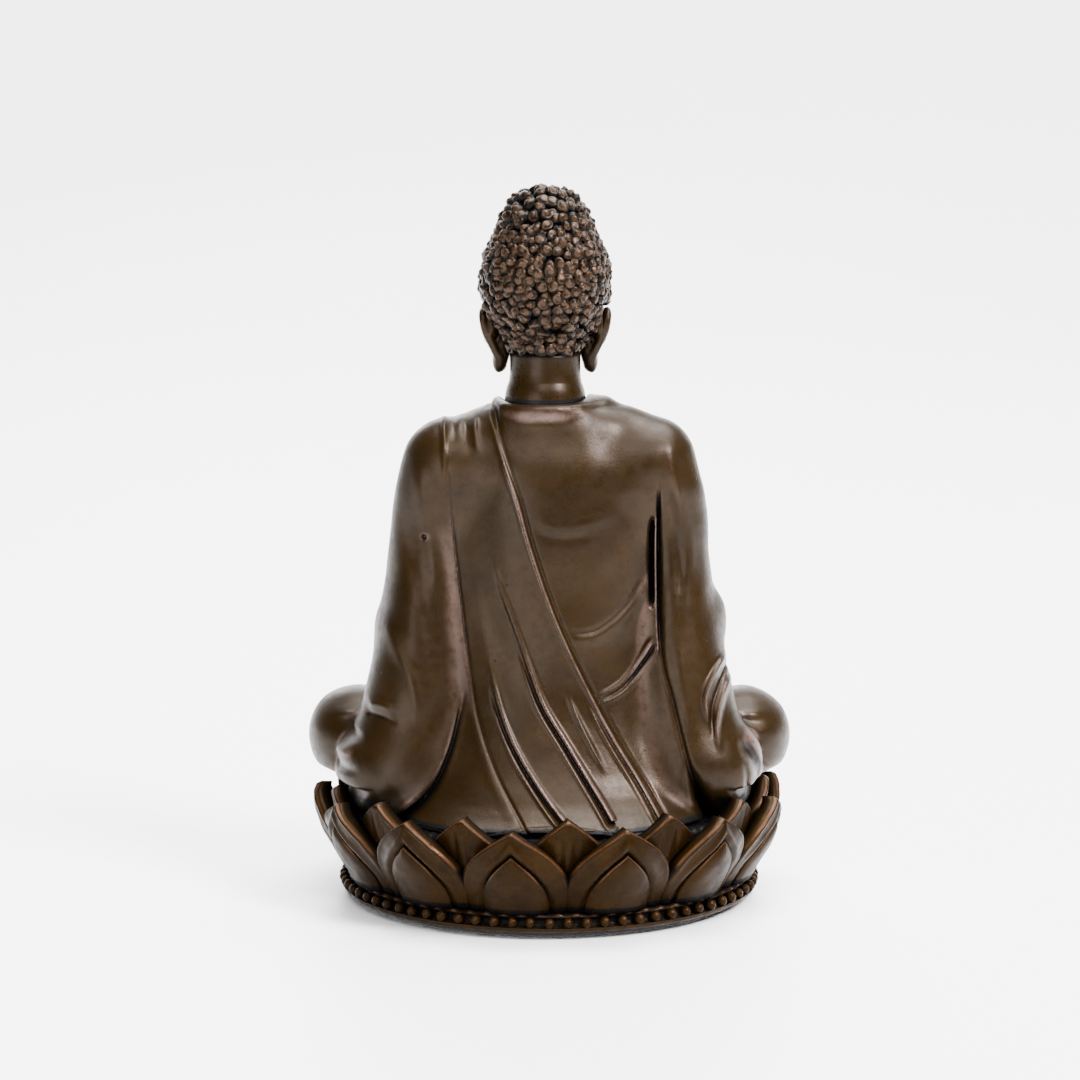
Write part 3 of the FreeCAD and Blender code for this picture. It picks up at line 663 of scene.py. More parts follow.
def outer_front(u, v, k):
    half = rise(v, OUTLINE) * (1 + 0.02 * math.sin(2.4 * k))
    s = u * half
    z = FOOT_Z + (OUTER_TIP - FOOT_Z + 0.15 * math.sin(1.7 * k)) * v
    r = rise(v, PETAL_BOW) - 1.0 * (s / 6.4) ** 2
    lip = np.minimum((1 - np.abs(u)) * half, (1 - v) * 11)
    r = r + 0.14 * np.exp(-(((lip - 0.45) / 0.40) ** 2)) * step(0.1, 0.4, v)
    r = r - 0.42 * np.exp(-((lip / 0.20) ** 2))
    leaf_v = (z - FOOT_Z) / (LEAF_TIP - FOOT_Z)
    leaf = rise(np.clip(leaf_v, 0, 1), LEAF_OUTLINE) - np.abs(s) - 6 * np.maximum(leaf_v - 1, 0)
    r = r - 0.42 * step(-0.75, -0.05, leaf) + 0.20 * np.exp(-(((leaf + 1.15) / 0.5) ** 2)) * step(0.2, 0.6, v)
    r = r + 0.03 * np.sin(2.6 * s + 3 * k) * np.sin(1.9 * z + k) + 0.05 * np.sin(1.3 * s + 5 * k)
    # Patina and painted shade in the groove round the heart; painted shade at the foot and along the lower
    # sides, where neighbours overlap.
    shade_and_patina = 0.95 * np.exp(-(((leaf + 0.16) / 0.20) ** 2)) * step(0.1, 0.5, v) + 0.85 * step(4.3, 3.3, z)
    shade_and_patina = np.maximum(shade_and_patina, 0.9 * step(0.5, 0.05, (1 - np.abs(u)) * half) * step(0.62, 0.4, v))
    rub = 0.50 * np.exp(-(((lip - 0.16) / 0.13) ** 2)) * step(0.3, 0.6, v)
    return s, z, r, shade_and_patina, rub


def leaf_front(u, v, k):
    half = rise(v, LEAF_OUTLINE)
    s = u * half
    z = FOOT_Z + 0.03 + (LEAF_TIP - FOOT_Z) * v
    edge = np.minimum((1 - np.abs(u)) * half, (1 - v) * 7)
    r = rise((z - FOOT_Z) / (OUTER_TIP - FOOT_Z), PETAL_BOW) - 1.0 * (s / 6.4) ** 2 - 0.05
    r = r + 0.55 * (1 - np.exp(-edge / 0.8)) + 0.03 * np.sin(2.2 * s + k) * np.sin(1.7 * z)
    # Painted shade at the foot and along the rim, where the heart meets its petal.
    shade_and_patina = 0.8 * step(4.2, 3.2, z) + 0.35 * step(0.10, 0.0, edge)
    rub = 0.50 * np.exp(-(((edge - 0.16) / 0.13) ** 2)) * step(0.35, 0.7, v)
    return s, z, r, shade_and_patina, rub


INNER_OUTLINE = [(0, 5.2), (0.3, 5.5), (0.55, 5.0), (0.7, 4.05), (0.82, 2.75), (0.92, 1.35), (1, 0.05)]
INNER_BOW = [(0, 23.2), (0.3, 24.2), (0.6, 25.5), (0.8, 26.1), (0.92, 26.15), (1, 25.85)]


def inner_front(u, v, k):
    half = rise(v, INNER_OUTLINE)
    s = u * half
    z = FOOT_Z + (INNER_TIP - FOOT_Z + 0.2 * math.sin(2.3 * k + 1)) * v
    lip = np.minimum((1 - np.abs(u)) * half, (1 - v) * 9)
    r = rise(v, INNER_BOW) - 0.9 * (s / 4.6) ** 2
    r = r + 0.12 * np.exp(-(((lip - 0.4) / 0.35) ** 2)) - 0.35 * np.exp(-((lip / 0.18) ** 2))
    r = r - 0.20 * np.exp(-(((np.abs(s) - 0.8) / 0.35) ** 2)) * step(0.95, 0.7, v) * step(0.35, 0.6, v)
    # Painted shade on the lower half behind the outer petals and along the sides, and, with patina, in the
    # grooves beside the vein.
    shade_and_patina = 0.75 * step(0.56, 0.34, v) + 0.5 * step(0.35, 0, (1 - np.abs(u)) * half) * step(0.85, 0.6, v)
    shade_and_patina = shade_and_patina + 0.3 * np.exp(-(((np.abs(s) - 0.8) / 0.3) ** 2)) * step(0.95, 0.7, v)
    rub = 0.50 * np.exp(-(((lip - 0.16) / 0.13) ** 2)) * step(0.6, 0.8, v)
    return s, z, r, shade_and_patina, rub


def make_lotus():
    petal_ring("petals_outer", "outer_petals", PETALS, FIRST, outer_front, 1.3)
    petal_ring("petal_hearts", "petal_leaves", PETALS, FIRST, leaf_front, 0.9, 40, 40)
    petal_ring("petals_inner", "inner_petals", PETALS, FIRST + math.pi / PETALS, inner_front, 1.3, 44, 46)


# ---------------------------------------------------------------- robe
BODY_Y = 3.8
ROBE_EDGE = [
    (7.2, 60.5), (5.7, 54.8), (3.7, 49.0), (2.4, 44.3), (0.5, 38.5), (-1.6, 33.2), (-4.7, 26.7), (-7.6, 21.4),
    (-10.6, 16.6), (-13.7, 11.5),
]
LEFT_ARM_EDGE = [
    (12.4, 60), (12.0, 53), (11.1, 44), (10.3, 36.2), (9.7, 29.5), (10.6, 24.2), (11.9, 19.3), (14.3, 14.6),
    (19.2, 10.5),
]
RIGHT_ARM_EDGE = [
    (-12.0, 60), (-12.5, 54), (-12.9, 50), (-13.0, 40), (-13.1, 31.2), (-14.4, 25.3), (-16.5, 17),
    (-18.8, 10.5),
]
ROBE_FRONT = [(6.0, 60.5), (4.6, 54), (2.2, 48.5), (-1.6, 43), (-6.0, 38), (-10.5, 33.5), (-16, 27)]
LAPEL = [(-4.8, 60), (-4.0, 55), (-2.4, 50), (-0.4, 45.6)]


def back_relief(u, v):
    """The folds seen from behind."""
    d = Drape(u, v)
    d.rumple(7.0, 0.10)
    d.rumple(2.6, 0.03)
    # Border of the outer robe: a thin raised edge, with a dark gap where it meets the collar.
    d.layer(ROBE_EDGE, 0.36, 5.0, 0.15, (0.3, 0.0))
    d.fold(ROBE_EDGE, 0.26, 0.30, 0.20, (0.25, 0.0))
    d.fold(ROBE_EDGE, 0.17, -0.22, -0.34, (0.35, 0.0))
    d.fold([(7.6, 61), (6.7, 58.4), (6.0, 55.6)], 0.36, -0.55, -0.35, (0.0, 0.5))
    d.fold(ROBE_EDGE[6:], 0.17, -0.20, 0.55, (0.3, 0.0))
    d.fold(ROBE_EDGE[6:], 0.22, 0.22, 0.95, (0.3, 0.0))
    # Two long folds beside it, each a ridge, a dark groove and a second ridge lower down.
    second = [
        (6.8, 42.6), (5.8, 39.2), (3.6, 33.2), (2.2, 29.2), (0.5, 25), (-2.2, 20.7), (-4.4, 17.2), (-7.2, 13)
    ]
    d.fold(second, 0.30, 0.42, 0, (0.2, 0.0))
    d.fold(second[2:], 0.22, -0.42, 0.48, (0.25, 0.0))
    d.fold(second[3:], 0.22, 0.24, 0.92, (0.3, 0.0))
    third = [(7.2, 30.6), (6.7, 28.3), (5.2, 23.4), (3.4, 19.6), (0.5, 15.4), (-2.6, 12.2), (-5.4, 10.5)]
    d.fold(third, 0.28, 0.40, 0, (0.2, 0.0))
    d.fold(third[1:], 0.22, -0.46, 0.46, (0.2, 0.0))
    d.fold(third[2:], 0.22, 0.26, 0.90, (0.25, 0.0))
    short = [(-1.7, 27.4), (-3.2, 23.8), (-5.6, 19.2), (-6.8, 17.2)]
    d.fold(short, 0.28, 0.30, 0, (0.35, 0.3))
    # The thin dark line where the shoulder cloth ends, and a ridge at its top.
    dark = [(12.2, 56), (11.9, 53), (11.1, 44), (10.2, 36.2), (9.3, 29.1), (8.2, 23), (5.9, 17), (2.3, 11.3)]
    d.fold(dark, 0.17, -0.24, 0, (0.15, 0.0))
    d.fold(dark[2:], 0.60, 0.08, 0.75, (0.3, 0.2))
    d.fold([(12.4, 60), (12.2, 55), (11.9, 50)], 0.30, 0.34, 0, (0.1, 0.5))
    d.fold([(11.2, 60), (11.2, 57), (11.0, 54.5)], 0.42, -0.34, 0, (0.0, 0.7))
    d.fold([(8.9, 60), (8.6, 56), (8.0, 52.5)], 0.36, 0.22, 0, (0.4, 0.5))
    d.fold([(9.9, 60), (9.7, 56), (9.3, 52.5)], 0.36, -0.16, 0, (0.1, 0.7))
    # The left sleeve's back edge, opening towards the hem.
    crease = [(9.9, 27), (10.6, 24.2), (11.9, 19.3), (14.3, 14.6), (19.2, 10.5)]
    d.layer(crease, 0.55, 2.6, 0.25, (0.35, 0.0))
    d.fold(crease, 0.22, -0.42, -0.25, (0.4, 0.0))
    d.fold([(11.6, 20.4), (14.0, 15.2), (18.2, 11.0)], 0.55, -0.85, -0.2, (0.8, 0.0))
    # Soft folds across the back.
    d.fold([(-1.8, 33.4), (-5.4, 33.7), (-9.0, 36.4), (-11.6, 40.5)], 0.34, -0.17, 0, (0.2, 0.2))
    d.fold([(-1.8, 32.7), (-5.6, 33.0), (-9.4, 35.6), (-12.0, 39.6)], 0.75, 0.20, 0, (0.25, 0.2))
    d.fold([(2.4, 46.9), (-0.8, 45.9), (-4.8, 46.3), (-8.6, 47.7)], 0.9, 0.14, 0, (0.25, 0.3))
    d.fold([(2.0, 45.2), (-1.6, 44.3), (-5.6, 44.8)], 0.55, -0.10, 0, (0.25, 0.3))
    low = [(-4.4, 25.0), (-8.4, 26.7), (-11.0, 29.6), (-12.6, 32.2)]
    d.fold(low, 0.20, -0.30, 0, (0.4, 0.1))
    d.fold(low, 0.34, 0.36, -0.46, (0.4, 0.1))
    d.fold(low, 0.34, 0.22, 0.44, (0.5, 0.1))
    # Pleats running down from the shoulder, very soft.
    d.fold([(8.6, 53), (8.4, 44), (6.9, 35), (4.4, 27)], 2.2, -0.42, 0, (0.2, 0.3))
    d.fold([(9.6, 44), (8.2, 36), (6.2, 28), (3.4, 21)], 1.0, 0.15, 0, (0.3, 0.3))
    # Sleeves.
    d.fold([(15.8, 55), (14.8, 48), (13.6, 42), (12.6, 35)], 0.9, 0.26, 0, (0.3, 0.25))
    d.fold([(17.4, 49), (16.4, 42), (14.4, 35), (13.2, 28)], 0.9, -0.20, 0, (0.3, 0.25))
    d.fold([(19.4, 35), (17.8, 31), (15.8, 27), (14.8, 21)], 0.8, 0.24, 0, (0.2, 0.3))
    d.fold([(21.5, 24.5), (19.4, 24.6), (17.2, 23.6)], 0.55, 0.35, 0, (0.15, 0.5))
    d.fold([(21.5, 23.3), (19.4, 23.2), (17.4, 22.4)], 0.34, -0.28, 0, (0.15, 0.5))
    d.fold([(-13.6, 56), (-14.8, 50), (-16.2, 44), (-16.6, 37)], 0.7, 0.34, 0, (0.3, 0.25))
    d.fold([(-13.4, 51), (-14.4, 46), (-15.2, 40), (-15.2, 34)], 0.5, -0.22, 0, (0.25, 0.3))
    d.fold([(-14.6, 34), (-15.6, 27), (-17.4, 19.5)], 0.8, 0.22, 0, (0.3, 0.3))
    d.fold([(-20.8, 30.0), (-19.4, 28.2), (-18.2, 25.6), (-18.6, 22.4)], 0.36, 0.50, 0, (0.1, 0.3))
    d.fold([(-21.4, 27.4), (-20.2, 25.0), (-19.6, 22.0), (-20.0, 19.0)], 0.32, 0.42, 0, (0.1, 0.3))
    d.fold([(-21.0, 28.8), (-19.8, 26.6), (-18.9, 23.8), (-19.2, 20.6)], 0.24, -0.40, 0, (0.1, 0.3))
    # Slits between the right arm and the back, a crease below and a wedge at the hem.
    d.fold([(-12.0, 46.8), (-11.85, 42), (-11.95, 35.4)], 0.23, -1.7, 0, (0.18, 0.2))
    d.fold([(-12.7, 51.4), (-12.75, 44), (-12.8, 36), (-12.9, 30)], 0.15, -1.3, 0, (0.3, 0.4))
    crease = [(-12.9, 36), (-13.1, 30), (-14.3, 25.3), (-16.4, 17.2), (-18.5, 11.6)]
    d.fold(crease, 0.24, -0.46, 0, (0.1, 0.0))
    d.fold([(-15.6, 19.0), (-17.1, 15.2), (-18.9, 11.2)], 0.62, -1.9, 0, (0.85, 0.0))
    d.fold([(-12.5, 54.5), (-12.6, 48), (-12.5, 40), (-13.2, 30)], 1.0, -0.28, 0, (0.3, 0.3))
    # Knees.
    d.fold([(27.6, 21.4), (24.6, 20.4), (21.4, 20.8)], 0.6, -0.50, 0, (0.3, 0.3))
    d.fold([(29.4, 19.4), (25.6, 18.6), (22.2, 19.2)], 0.7, 0.50, 0, (0.3, 0.3))
    d.fold([(29.4, 16.6), (25.8, 16.6), (22.0, 17.0)], 0.6, -0.50, 0, (0.3, 0.3))
    d.fold([(27.6, 14.6), (24.6, 14.4), (21.4, 13.4)], 0.45, -0.32, 0, (0.2, 0.3))
    d.fold([(-26.4, 14.0), (-25.6, 18.0), (-22.6, 21.8)], 0.8, 0.45, 0, (0.3, 0.3))
    d.fold([(-24.6, 13.4), (-24.2, 17.0), (-21.8, 20.6)], 0.6, -0.50, 0, (0.3, 0.3))
    d.fold([(-22.6, 12.6), (-23.2, 15.4), (-22.6, 18.4)], 0.30, -0.36, 0, (0.1, 0.6))
    return d


def front_relief(u, v):
    """The folds seen from the front, which the photograph doesn't show."""
    d = Drape(u, v)
    d.rumple(6.0, 0.10)
    d.rumple(2.2, 0.03)
    d.layer(ROBE_FRONT, 0.75, 7.0, 0.22, (0.2, 0.0))
    d.fold(ROBE_FRONT, 0.34, 0.40, 0.35, (0.2, 0.02))
    d.fold(ROBE_FRONT, 0.28, -0.45, -0.40, (0.02, 0.02))
    d.fold(ROBE_FRONT, 0.26, -0.30, 1.15, (0.02, 0.02))
    d.fold(LAPEL, 0.34, 0.45, -0.4, (0.2, 0.1))
    d.fold(LAPEL, 0.26, -0.30, -1.15, (0.02, 0.1))
    right_body, _ = d.trace(LAPEL)
    chest = step(0.1, 0.6, right_body)
    left_body, _ = d.trace(ROBE_FRONT)
    d.height -= 0.55 * chest * step(-0.3, -0.8, left_body) * step(44, 46.5, d.v)
    for k in range(5):
        low = 4.6 + 1.9 * k
        d.fold(
            [(12.0, 55 - 4.2 * k), (7.0 + 0.3 * k, 50 - 3.8 * k), (low - 6 + k, 41.5 - 2.2 * k),
             (-8 + 2 * k, 34 - 1.2 * k)],
            0.6, 0.40, 0, (0.2, 0.2),
        )
    for k in range(3):
        d.fold([(-12, 52 - 5 * k), (-9.5, 46 - 4 * k), (-6, 42.5 - 2 * k)], 0.6, 0.32, 0, (0.2, 0.3))
    for side in (1, -1):
        d.fold([(side * 17.4, 50), (side * 15.0, 42), (side * 15.6, 35)], 0.8, 0.35, 0, (0.2, 0.2))
        d.fold([(side * 14.0, 50), (side * 13.2, 42), (side * 13.8, 36)], 0.6, 0.30, 0, (0.2, 0.2))
        for k in range(3):
            d.fold(
                [(side * (18.6 - k), 33 - 1.4 * k), (side * (14.5 - k), 29.5 - 1.2 * k),
                 (side * (10.2 - k), 27.4 - 0.8 * k)],
                0.5, 0.38, 0, (0.2, 0.2),
            )
        for k in range(5):
            d.fold(
                [(side * (27.5 - 0.6 * k), 21.5 - 2.0 * k), (side * 20, 21.8 - 1.9 * k),
                 (side * 11, 19.2 - 1.3 * k), (side * 3.5, 17.4 - 1.1 * k)],
                0.6, 0.36, 0, (0.15, 0.15),
            )
    return d


def sleeve_shape(grid, side):
    """Upper arm, elbow, forearm and the cloth hanging from it."""
    wrist = 24.6 if side < 0 else 22.9
    arm = grid.like()
    arm.add(
        tube([(side * 12.2, 3.3, 51.4, 4.4), (side * 13.9, 3.2, 47.0, 4.3), (side * 14.8, 2.6, 40.5, 4.0),
              (side * 15.6, 1.8, 34.5, 4.1)], 5, 0.5)
    )
    if side < 0:
        arm.add(ball((-16.5, 1.2, 33.9), (4.3, 4.6, 4.4)), 1.0)
    else:
        arm.add(ball((15.5, 1.4, 31.0), (3.9, 4.6, 6.4)), 3.0)
    forearm = [
        (side * 15.9, 1.0, 32.2, 4.2), (side * 12.2, -4.6, 28.2, 4.0), (side * 7.4, -8.8, wrist + 0.6, 3.3)
    ]
    arm.add(tube(forearm, 4, 0.4), 2.0)
    arm.add(
        tube([(side * 15.6, 2.8, 31, 4.2), (side * 16.0, 3.8, 26, 5.0), (side * 16.4, 4.8, 21, 5.6),
              (side * 16.6, 5.8, 17, 5.8)], 5, 0.5), 2.5
    )
    arm.add(
        tube([(side * 13.9, 4.4, 42.0, 2.8), (side * 14.6, 5.2, 34.0, 4.3), (side * 15.2, 5.8, 26.0, 5.4),
              (side * 15.9, 6.0, 18.0, 6.0)], 5, 0.5), 2.0
    )
    arm.add(ball((side * 18.4, 4.6, 15.9), (6.4, 7.4, 4.6)), 4.5)
    arm.add(tube([(side * 14.2, -1.6, 26.5, 3.6), (side * 10.4, -6.2, 22.6, 2.8)]), 2.5)
    arm.cut(ball((side * 5.0, -10.6, wrist - 0.4), (2.6, 2.4, 2.2)), 0.4)
    return arm


def leg_shape(grid, side):
    """Thigh, knee and shin under the cloth, and the cloth bunched below the knee."""
    leg = grid.like()
    thigh = [(side * 9.0, 1.0, 17.2, 6.4), (side * 16.5, -2.4, 17.8, 6.0), (side * 22.9, -4.6, 18.2, 5.6)]
    leg.add(tube(thigh, 3))
    leg.add(ball((side * 23.0, -3.8, 18.2), (5.7, 6.4, 5.3)), 1.0)
    tip = 15.9 + 0.6 * side
    shin = [(side * 23.1, -5.0, 17.8, 5.2), (side * 13.5, -12.0, 16.8, 4.6), (side * 2.4, -15.2, tip, 3.4)]
    leg.add(tube(shin, 3), 2.0)
    leg.add(ball((side * 19.4, -2.6, 14.2), (7.0, 9.6, 3.4)), 2.0)
    return leg


def torso_shape(grid):
    """Trunk and lap under the cloth, with the collar ring."""
    torso = grid.like()
    torso.add(
        stack([
            (10.9, 21.0, 20.2, 0, 3.2), (11.9, 20.2, 18.6, 0, 3.2), (13.2, 19.1, 16.7, 0, 3.3),
            (15, 17.8, 14.7, 0, 3.4), (18, 16.2, 12.6, 0, 3.6), (24, 13.9, 9.9, 0, 3.8),
            (30, 12.9, 8.8, 0, 3.8), (38, 12.7, 8.5, 0, 3.6), (46, 13.2, 8.3, 0, 3.4),
            (52, 12.9, 7.6, 0, 3.2), (56, 10.2, 6.3, 0.1, 3.0), (58.9, 6.2, 5.2, 0.3, 3.0),
        ])
    )
    yoke = [
        (11.8, 3.2, 53.9, 3.4), (6.6, 3.2, 54.7, 3.1), (0.4, 3.6, 56.0, 3.2), (-6.2, 3.2, 56.4, 3.1),
        (-12.4, 3.2, 54.2, 3.3),
    ]
    torso.add(tube(yoke, 3), 3.5)
    for breast in (4.2, -4.0):
        torso.add(ball((breast, -2.4, 47.5), (5.4, 3.2, 5.2)), 3.0)
    torso.add(ball((0, -2.2, 33), (8.5, 4.2, 6.5)), 3.0)
    torso.add(tube(COLLAR), 1.5)
    torso.add(ball((0, -4.6, 13.2), (16.5, 9.2, 5.4)), 2.0)
    torso.add(ball((0.4, -15.0, 12.9), (7.2, 3.6, 1.9)), 1.2)
    return torso


COLLAR = [
    (0.5 + 5.15 * math.cos(t), 3.3 + 5.0 * math.sin(t), 58.75 + 0.2 * math.sin(t), 0.60)
    for t in np.linspace(0, 2 * math.pi, 25)
]
PINHOLES = ((-7.6, 11.3, 54.4), (-3.0, 12.2, 40.0), (5.0, 12.4, 33.0), (-9.6, 11.0, 36.5), (14.6, 7.6, 44.0))
CASTINGS = ("left_sleeve", "right_sleeve", "left_leg", "right_leg", "outer_robe", "torso", "robe_skirt")


def casting_of(points, torso, sleeves, legs):
    """The index in CASTINGS that each point belongs to."""
    x, y, z = points.T
    behind = step(BODY_Y - 3.0, BODY_Y + 2.0, y)
    trunk = torso.sample(points)
    arm = {side: sleeves[side].sample(points) for side in (1, -1)}
    leg = {side: legs[side].sample(points) for side in (1, -1)}
    others = np.minimum(trunk, np.minimum(leg[1], leg[-1]))
    left_edge, right_edge = trace(x, z, LEFT_ARM_EDGE)[0], trace(x, z, RIGHT_ARM_EDGE)[0]
    own = {
        1: np.where(behind > 0.5, -left_edge, arm[1] - others),
        -1: np.where(behind > 0.5, right_edge, arm[-1] - others),
    }
    shin = {side: leg[side] - np.minimum(np.minimum(trunk, leg[-side]), arm[side]) for side in (1, -1)}
    robe = np.where(behind > 0.5, trace(x, z, ROBE_EDGE)[0], np.minimum(trace(x, z, ROBE_FRONT)[0], z - 24))
    low = [(-13.8, 34), (-12.6, 32), (-11.0, 29.6), (-8.4, 26.7), (-4.9, 25.0), (-2, 24)]
    upper = np.where(behind > 0.5, -trace(x, z, low)[0], z - 24)
    label = np.full(len(x), 6)
    for index, inside in ((5, upper > 0), (4, robe > 0), (3, shin[-1] < 0), (2, shin[1] < 0),
                          (1, (own[-1] < 0) & (x < 0)), (0, (own[1] < 0) & (x > 0))):
        label[inside] = index
    label[(z < 24) & (label < 2) & (leg[1] < arm[1] - 0.3) & (x > 21)] = 2
    label[(z < 24) & (label < 2) & (leg[-1] < arm[-1] - 0.3) & (x < -21)] = 3
    return label


def make_body():
    """The robed body, shaped as one field and split into its castings along the creases."""
    grid = Field((-30.4, -21.0, 10.9), (30.4, 20.8, 61.0), 0.18)
    torso = torso_shape(grid)
    sleeves = {side: sleeve_shape(grid, side) for side in (1, -1)}
    legs = {side: leg_shape(grid, side) for side in (1, -1)}

    xs, ys, zs = grid.axes
    y, zz = ys[None, :, None], zs[None, None, :]
    behind = step(BODY_Y - 3.0, BODY_Y + 2.0, y)
    total = grid.like()
    total.f = smooth_min(torso.f, smooth_min(legs[1].f, legs[-1].f, 0.8), 1.8)
    high = step(42, 50, zz) * step(60, 54, zz)
    for side, blend in ((1, 3.0), (-1, 2.4)):
        total.f = smooth_min(total.f, sleeves[side].f, 1.1 + (blend - 1.1) * behind + 2.6 * high)

    back, front = back_relief(xs, zs), front_relief(xs, zs)
    total.f -= behind * back.height[:, None, :] + (1 - behind) * front.height[:, None, :]
    # Pleats of the cloth fanned out under the crossed shins.
    cuts, x, yy, z = total.window((-9, -20.5, 10.7), (9.5, -10, 15.6))
    spread = np.arctan2(x - 0.4, yy + 26)
    total.f[cuts] -= 0.35 * np.cos(spread * 34) * step(15.2, 13.4, z) * step(-12.5, -14.5, yy)
    # The neck's hole, the seat plane, room for the petals and a few casting pinholes.
    total.cut(tube([(0.5, 3.4, 61.6, 4.95), (0.5, 3.4, 66, 4.95)]), 0.3)
    total.f = np.maximum(total.f, 11.25 - zz)
    r = np.sqrt(xs[:, None, None] ** 2 + ys[None, :, None] ** 2)
    total.f = -smooth_min(-total.f, np.maximum(24.2 - r, zz - 14.6), 0.5)
    for hole in PINHOLES:
        total.cut(ball(hole, 0.34), 0.1)

    # Painted shade: the seat plane, a ring where the petals stand and the neck join the field the shade is
    # sampled from, darkening the robe near them.
    around = total.like()
    around.f = np.minimum(total.f, zz - 11.2)
    around.f = np.minimum(around.f, np.maximum(np.abs(r - 25.0) - 1.1, zz - 13.0))
    around.add(tube([(0.5, 3.4, 55, 4.3), (0.5, 3.4, 66, 4.2)]))
    points, quads = surface(total)
    normals = total.normals(points)
    shade_and_patina, rub = shade_patina_and_wear(around, points)
    x, y, z = points.T
    # Painted shade: a dark ring in the gap round the collar, and black at the hem's foot behind the petals.
    collar_gap_shade = step(5.1, 4.7, np.hypot(x - 0.5, y - 3.4)) * step(57.4, 58.2, z)
    shade_and_patina = np.maximum(shade_and_patina, np.maximum(collar_gap_shade, 0.95 * step(12.4, 11.7, z)))
    rub = rub * step(12.2, 13.4, z)
    label = casting_of(points[quads].mean(axis=1), torso, sleeves, legs)
    for index, node in enumerate(CASTINGS):
        chosen = quads[label == index]
        shell(f"cast_{node}", points, chosen, normals, node, robe_metal, shade_and_patina, rub)


# ---------------------------------------------------------------- head
HEAD = np.array([0.5, 2.4, 74.2])


